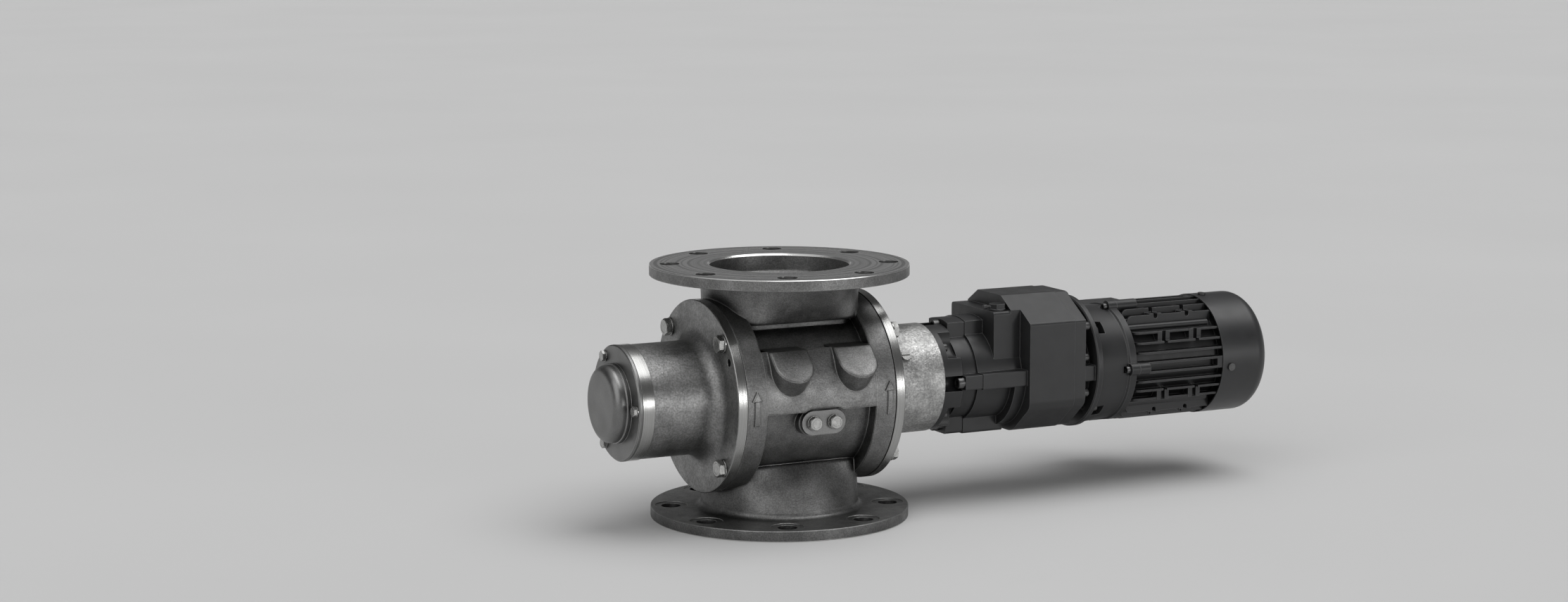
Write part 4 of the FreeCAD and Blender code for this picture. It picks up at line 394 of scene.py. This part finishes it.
def turned_area(finish, mask, under, marks, bright, low, grooved):
    """Carries a finish (tone, roughness, normal) over to turned metal where the mask is 1.

    Its tone goes from low times bright to bright with the marks, and grooved is its normal.
    """
    tone, rough, normal = under
    marks = finish.spread(marks, NOISE_LOW, NOISE_HIGH)
    lines = finish.blend(marks, [level * low for level in bright], bright)
    tone = finish.blend(mask, tone, lines)
    rough = finish.mix("FLOAT", mask, rough, TURNED_ROUGHNESS)
    return tone, rough, finish.mix("VECTOR", mask, normal, grooved)


def trim_mask(finish, radius, from_middle, face):
    """1 on the bright lines of a flange: its outer edge, the port's lip and the holes' rims."""
    near_hole = finish.maths("ABSOLUTE", finish.maths("SUBTRACT", hole_distance(finish, radius), HOLE_RADIUS))
    hole = finish.maths("MULTIPLY", finish.within(near_hole, HOLE_TRIM), face)
    chamfered = finish.beyond(from_middle, AXIS_Z - PORT_CHAMFER)
    lip = finish.maths("MULTIPLY", finish.within(radius, PORT_RADIUS + PORT_CHAMFER + LIP_TRIM), chamfered)
    edge = finish.maths("MULTIPLY", finish.beyond(radius, FLANGE_EDGE - EDGE_TRIM, EDGE_BLUR), face)
    return finish.maths("MAXIMUM", finish.maths("MAXIMUM", lip, edge), hole)


def casting_finish():
    """Blasted body with soft cast edges, turned flange faces and bright lines on the flanges."""
    name = "blasted_casting"
    finish = Finish(name, 1.0, 0.5)
    x, y, z = finish.axes()
    from_middle = finish.maths("ABSOLUTE", finish.maths("SUBTRACT", z, AXIS_Z))
    along = finish.within(finish.maths("ABSOLUTE", x), CAST_END, CAST_BLUR)
    across = finish.within(from_middle, CAST_TOP, CAST_BLUR)
    soften = finish.spread(finish.maths("MINIMUM", along, across), 0.0, 1.0, MACHINED_EDGE, CAST_EDGE)
    under = blasted(finish, name, soften)
    radius = distance_from_axis(finish, "z")
    face = finish.beyond(from_middle, AXIS_Z - FACE_DEPTH, FACE_DEPTH)
    marks = flange_marks(finish, radius)
    outwards = finish.vector("NORMALIZE", finish.node("ShaderNodeCombineXYZ", {0: x, 1: y}).outputs[0])
    grooved = brushed(finish, finish.bump(marks, 0.09 * MM), radius, outwards, FLANGE_TILT)
    tone, rough, normal = turned_area(finish, face, under, marks, FLANGE_TONE, 0.3, grooved)
    trim = trim_mask(finish, radius, from_middle, face)
    tone = finish.blend(trim, tone, TRIM_TONE)
    rough = finish.mix("FLOAT", trim, rough, TRIM_ROUGHNESS)
    return finish.set(Base_Color=tone, Roughness=rough, Normal=normal)


def cover_finish(name, band_end=None):
    """End cover: blasted, with a turned rim and, from its free end to band_end, a turned band."""
    finish = Finish(name, 1.0, 0.5)
    under = blasted(finish, name, COVER_EDGE)
    x = finish.axes()[0]
    mask = finish.beyond(distance_from_axis(finish, "x"), COVER_RIM - RIM_MARGIN)
    if band_end is not None:
        mask = finish.maths("MAXIMUM", mask, finish.within(x, band_end - BAND_BLUR / 2, BAND_BLUR))
    marks = turned_grooves(finish, x, COVER_PITCH)
    grooved = brushed(finish, finish.rounded(0.5 * MM), x, RIGHT, COVER_TILT)
    tone, rough, normal = turned_area(finish, mask, under, marks, COVER_TONE, 0.6, grooved)
    return finish.set(Base_Color=tone, Roughness=rough, Normal=normal)


def satin_finish():
    """Fine-blasted machined stainless of the bearing cap and the port plate."""
    finish = Finish("satin_stainless", 1.0, 0.4)
    tone = finish.blend(finish.patches(20 * MM, detail=4.0), *SATIN_TONES)
    tone = speckled(finish, tone, 0.9 * MM, 0.88, 1.08)
    # Painted shade: darker in corners, from how open each point is
    tone = shaded_in_corners(finish, tone, 15 * MM, 0.4)
    # Lighter worn edges, with a painted highlight along them
    tone = worn_and_highlit(finish, tone, 0.7 * MM, 0.9, POLISHED_AND_HIGHLIT_EDGE)
    normal = finish.bump(finish.noise(0.5 * MM, detail=3.0), 0.03 * MM, finish.rounded(0.7 * MM))
    return finish.set(Base_Color=tone, Roughness=finish.patches(10 * MM, 0.33, 0.42), Normal=normal)


def bright_metal(name):
    """Bright machined metal with faint marks."""
    colour, low, high = METALS[name]
    finish = Finish(name, 1.0, low)
    tone = finish.blend(finish.patches(4 * MM), [level * 0.75 for level in colour], colour)
    # Painted shade: darker in corners, from how open each point is
    tone = shaded_in_corners(finish, tone, 6 * MM, 0.4)
    normal = finish.bump(finish.noise(0.5 * MM), 0.015 * MM, finish.rounded(0.35 * MM))
    return finish.set(Base_Color=tone, Roughness=finish.patches(3 * MM, low, high), Normal=normal)


def painted(name):
    """Dark paint with an uneven tone, lighter worn edges with a painted highlight, painted shade in corners
    and a fine orange peel.
    """
    colour, edge, grain, depth, low, high = PAINTS[name]
    finish = Finish(name, 0.0, low)
    tone = finish.blend(finish.patches(40 * MM, detail=4.0), [level * 0.8 for level in colour], colour)
    # Painted shade: darker in corners, from how open each point is
    tone = shaded_in_corners(finish, tone, 20 * MM, 0.3, 0.95)
    # Lighter worn edges, with a painted highlight along them
    tone = worn_and_highlit(finish, tone, 0.8 * MM, 0.7, edge)
    normal = finish.bump(finish.noise(grain, detail=3.0, rough=0.6), depth, finish.rounded(0.9 * MM))
    return finish.set(Base_Color=tone, Roughness=finish.patches(15 * MM, low, high), Normal=normal)


def dull(name):
    """Plain moulded or rubber surface with a faint grain."""
    colour, roughness, grain = DULL_THINGS[name]
    finish = Finish(name, 0.0, roughness)
    tone = finish.blend(finish.patches(8 * MM), [level * 0.7 for level in colour], colour)
    normal = finish.bump(finish.noise(grain, detail=3.0), 0.02 * MM)
    rough = finish.patches(5 * MM, roughness - 0.06, roughness + 0.06, detail=2.0)
    return finish.set(Base_Color=tone, Roughness=rough, Normal=normal)


def dress(material, *nodes):
    """Gives CAD nodes a material."""
    for name in nodes:
        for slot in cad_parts[name].material_slots:
            slot.material = material


def dress_valve(bright):
    """Materials of the valve's own nodes."""
    dress(casting_finish(), "body_casting")
    dress(cover_finish("blasted_cover", FREE_END + TURNED_BAND), "free_end_cover")
    dress(cover_finish("rough_cover"), "drive_end_cover")
    dress(satin_finish(), "bearing_cap", "port_plate")
    dress(bright, "lantern_plug", "retaining_ring")
    dress(bright_metal("turned_steel"), "rotor_vanes", "rotor_shaft")
    rings = [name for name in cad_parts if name.endswith(("_rings", "_balls"))]
    dress(bright_metal("ground_steel"), "shaft_key", *rings)
    dress(bright_metal("cage_brass"), "free_end_ball_cage", "drive_end_ball_cage")
    dress(dull("black_rubber"), "shaft_seals", "output_shaft_seal", "motor_shaft_seal")


def dress_drive(zinc):
    """Materials of the gear unit's and the motor's nodes."""
    paint = painted("graphite_paint")
    dress(paint, "output_flange", "gear_case", "gear_cover", "motor_adapter", "stator_housing")
    dress(paint, "motor_end_shield", "terminal_box", "terminal_box_lid", "vent_plug")
    dress(painted("satin_paint"), "fan_cowl")
    dress(zinc, "fan_cowl_screws", "terminal_box_screws", "drain_plug")
    gears = bright_metal("gear_steel")
    dress(gears, "output_shaft", "output_wheel", "countershaft", "countershaft_wheel")
    dress(gears, "motor_pinion", "motor_shaft")
    dress(bright_metal("lamination_steel"), "stator_core", "motor_rotor")
    dress(bright_metal("enamelled_copper"), "stator_windings")
    dress(dull("black_plastic"), "fan", "cable_entry_plugs")


def solids(node):
    """Low and high corners of each separate solid in a CAD node."""
    mesh = bmesh.new()
    mesh.from_mesh(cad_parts[node].data)
    bmesh.ops.remove_doubles(mesh, verts=mesh.verts, dist=WELD)
    seen = set()
    boxes = []
    for first in mesh.verts:
        if first in seen:
            continue
        seen.add(first)
        found = [first]
        for vertex in found:
            for edge in vertex.link_edges:
                other = edge.other_vert(vertex)
                if other not in seen:
                    seen.add(other)
                    found.append(other)
        low = Vector([min(vertex.co[axis] for vertex in found) for axis in range(3)])
        high = Vector([max(vertex.co[axis] for vertex in found) for axis in range(3)])
        boxes.append((low, high))
    mesh.free()
    return boxes


def hexagon_reach(flats):
    """Distance from a hexagon's middle to its side, as a function of the angle."""
    return lambda angle: flats / 2 / math.cos((angle + math.pi / 6) % (math.pi / 3) - math.pi / 6)


def skin(mesh, rings, place):
    """Closed skin through rings of (height, reach) along a place's Z axis, each a number or a function."""
    rows = []
    for height, reach in rings:
        row = []
        for step in range(RING_STEPS):
            angle = 2 * math.pi * step / RING_STEPS
            far = reach(angle) if callable(reach) else reach
            up = height(angle) if callable(height) else height
            row.append(mesh.verts.new(place @ Vector((far * math.cos(angle), far * math.sin(angle), up))))
        rows.append(row)
    for low, high in zip(rows, rows[1:]):
        for index in range(RING_STEPS):
            following = (index + 1) % RING_STEPS
            mesh.faces.new((low[index], low[following], high[following], high[index]))
    mesh.faces.new(list(reversed(rows[0])))
    mesh.faces.new(rows[-1])


def shank_rings(size, grip):
    """Rings of a screw's shank, from its tip up to the seat at height 0."""
    thread = THREAD_RADIUS * size
    return [(-grip, CORE_RADIUS * size), (-grip + TIP_LENGTH * size, thread), (0, thread)]


def hex_bolt_rings(size, grip):
    """Rings of a hex bolt with its washer and a shallow dish on its head, above the seat at height 0."""
    side = hexagon_reach(HEX_FLATS * size)
    flat = HEX_TOP * HEX_FLATS * size / 2
    slope = math.tan(math.radians(HEX_CHAMFER))
    rim = WASHER_RADIUS * size
    washer = WASHER_HEIGHT * size
    top = washer + HEX_HEIGHT * size
    lip = WASHER_BEVEL * size
    return shank_rings(size, grip) + [
        (0, rim - lip),
        (lip, rim),
        (washer - lip, rim),
        (washer, rim - lip),
        (washer, HEX_FOOT * size),
        (washer + lip, lambda angle: 0.985 * side(angle)),
        (lambda angle: top - (side(angle) - flat) * slope, side),
        (top, flat),
        (top, 0.62 * size),
        (top - 0.025 * size, 0.58 * size),
    ]


def socket_screw_rings(size, grip):
    """Rings of a socket head screw: up its side, over the rounded rim and down into the socket."""
    socket = hexagon_reach(SOCKET_FLATS * size)
    head = SOCKET_HEAD * size
    top = SOCKET_HEIGHT * size
    floor = top - SOCKET_DEPTH * size
    return shank_rings(size, grip) + [
        (0, 0.95 * head),
        (0.04 * size, head),
        (0.87 * size, head),
        (0.95 * size, 0.77 * size),
        (top, 0.69 * size),
        (top, 0.5 * size),
        (0.96 * size, socket),
        (floor, socket),
        (floor - 0.05 * size, 0.2 * size),
    ]


def add_piece(name, mesh, material, slot, *nodes):
    """Makes an object of the housing from a mesh, and lets it stand for CAD nodes."""
    bmesh.ops.recalc_face_normals(mesh, faces=mesh.faces)
    data = bpy.data.meshes.new(name)
    mesh.to_mesh(data)
    mesh.free()
    data.materials.append(material)
    data.shade_smooth()
    data.set_sharp_from_angle(angle=math.radians(SHARP_ANGLE))
    piece = bpy.data.objects.new(name, data)
    bpy.context.scene.collection.objects.link(piece)
    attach(piece, "housing")
    if nodes:
        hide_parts(*nodes)


def outward(middle):
    """Direction along X from the valve's middle to the end where a point lies."""
    return (math.copysign(1, middle.x), 0, 0)


def make_screws(node, rings_of, head, width, facing, material, slot):
    """Replaces a node's screws.

    The head's height and width are shares of the thread; facing is the heads' direction, or a function
    that gives it for a screw's middle.
    """
    mesh = bmesh.new()
    for low, high in solids(node):
        middle = (low + high) / 2
        way = Vector(facing(middle) if callable(facing) else facing)
        axis = max(range(3), key=lambda index: abs(way[index]))
        size = (high - low)[2] / width
        seat = middle.copy()
        seat[axis] = high[axis] - head * size if way[axis] > 0 else low[axis] + head * size
        grip = (high - low)[axis] - head * size
        turn = way.to_track_quat("Z", "Y").to_matrix().to_4x4()
        skin(mesh, rings_of(size, grip), Matrix.Translation(seat) @ turn)
    add_piece(node + "_detailed", mesh, material, slot, node)


def make_all_screws(bright, zinc):
    """Detailed heads for every visible screw."""
    hex_head, hex_width = WASHER_HEIGHT + HEX_HEIGHT, 2 * WASHER_RADIUS
    for node, facing in (("end_cover_bolts", outward), ("bearing_cap_screws", LEFT), ("port_bolts", FRONT)):
        make_screws(node, hex_bolt_rings, hex_head, hex_width, facing, bright, "stainless_fasteners")
    socket_screws = (
        ("output_flange_screws", LEFT),
        ("motor_tie_screws", LEFT),
        ("lantern_screws", RIGHT),
        ("gear_cover_screws", RIGHT),
        ("motor_flange_screws", RIGHT),
    )
    for node, facing in socket_screws:
        make_screws(node, socket_screw_rings, SOCKET_HEIGHT, 2 * SOCKET_HEAD, facing, zinc, "drive_fasteners")


def arrow_rows():
    """Heights and half widths of an arrow, from its foot up to its tip."""
    rows = []
    for step in range(ARROW_STEPS + 1):
        rows.append((ARROW_LOW + (ARROW_NECK - ARROW_LOW) * step / ARROW_STEPS, ARROW_HALF_SHAFT))
    rows.append((ARROW_NECK - ARROW_BARB, ARROW_HALF_HEAD))
    rows.append(((ARROW_NECK + ARROW_TIP) / 2, ARROW_HALF_HEAD / 2))
    rows.append((ARROW_TIP, ARROW_HALF_TIP))
    return rows


def add_arrow(mesh, middle, side):
    """One arrow on the flange rim at x = middle, on the side of Y that side gives."""
    points = []
    for rise, half in arrow_rows():
        turn = rise / END_FLANGE_RADIUS
        foot = half + ARROW_SLOPE
        outline = ((-ARROW_ROOT, -foot), (ARROW_HEIGHT, -half), (ARROW_HEIGHT, half), (-ARROW_ROOT, foot))
        row = []
        for lift, reach in outline:
            out = END_FLANGE_RADIUS + lift
            place = (middle + reach, side * out * math.cos(turn), AXIS_Z + out * math.sin(turn))
            row.append(mesh.verts.new(place))
        points.append(row)
    for low, high in zip(points, points[1:]):
        for index in range(3):
            mesh.faces.new((low[index], low[index + 1], high[index + 1], high[index]))
    mesh.faces.new(points[0])
    mesh.faces.new(list(reversed(points[-1])))


def make_arrows(material):
    """Raised arrows that point up, on the rims of the body's end flanges, front and rear."""
    mesh = bmesh.new()
    for middle in ARROW_PLACES:
        for side in (-1, 1):
            add_arrow(mesh, middle, side)
    add_piece("flow_arrows", mesh, material, "cast_stainless")


def make_floor():
    """Plain pale floor."""
    mesh = bpy.data.meshes.new("floor")
    corners = [(x * FLOOR_HALF, y * FLOOR_HALF, 0) for x, y in ((-1, -1), (1, -1), (1, 1), (-1, 1))]
    mesh.from_pydata(corners, [], [(0, 1, 2, 3)])
    floor = bpy.data.objects.new("floor", mesh)
    bpy.context.scene.collection.objects.link(floor)
    finish = Finish("pale_floor", 0.0, FLOOR_ROUGHNESS)
    tone = finish.blend(finish.patches(FLOOR_PATCH), *FLOOR_TONES)
    finish.shader.inputs["Specular IOR Level"].default_value = FLOOR_SPECULAR
    mesh.materials.append(finish.set(Base_Color=tone))


def make_sun(name, towards, strength, spread):
    """Soft directional studio light that shines along a direction."""
    data = bpy.data.lights.new(name, "SUN")
    data.energy = strength
    data.angle = math.radians(spread)
    light = bpy.data.objects.new(name, data)
    light.rotation_euler = Vector(towards).to_track_quat("-Z", "Y").to_euler()
    bpy.context.scene.collection.objects.link(light)


def make_world():
    """Studio surroundings: pale near the horizon, darker walls and a bright ceiling."""
    world = bpy.data.worlds.new("studio")
    world.use_nodes = True
    tree = world.node_tree
    place = tree.nodes.new("ShaderNodeTexCoord")
    split = tree.nodes.new("ShaderNodeSeparateXYZ")
    ramp = tree.nodes.new("ShaderNodeValToRGB")
    tree.links.new(place.outputs["Generated"], split.inputs[0])
    tree.links.new(split.outputs["Z"], ramp.inputs[0])
    tree.links.new(ramp.outputs["Color"], tree.nodes["Background"].inputs["Color"])
    elements = ramp.color_ramp.elements
    while len(elements) < len(SKY_LEVELS):
        elements.new(0.5)
    for element, (position, level) in zip(elements, SKY_LEVELS):
        element.position = position
        element.color = (level, level, level, 1.0)
    bpy.context.scene.world = world


def make_camera():
    """Camera that looks from the photograph's place, along its yaw and pitch."""
    data = bpy.data.cameras.new("camera")
    data.sensor_width = SENSOR_WIDTH
    data.lens = CAMERA_LENS
    data.clip_end = CAMERA_REACH
    camera = bpy.data.objects.new("camera", data)
    camera.location = CAMERA_PLACE
    camera.rotation_euler = (math.radians(90 - CAMERA_PITCH), 0, math.radians(-CAMERA_YAW))
    bpy.context.scene.collection.objects.link(camera)
    bpy.context.scene.camera = camera


def make_studio():
    """Floor, surroundings, soft lights and the camera."""
    make_floor()
    make_world()
    for name, (towards, strength, spread) in SUNS.items():
        make_sun(name, towards, strength, spread)
    make_camera()
    bpy.context.scene.view_settings.view_transform = "Standard"


make_studio()
bright_stainless = bright_metal("bright_stainless")
dark_zinc = bright_metal("dark_zinc")
dress_valve(bright_stainless)
dress_drive(dark_zinc)
make_all_screws(bright_stainless, dark_zinc)
make_arrows(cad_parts["body_casting"].material_slots[0].material)
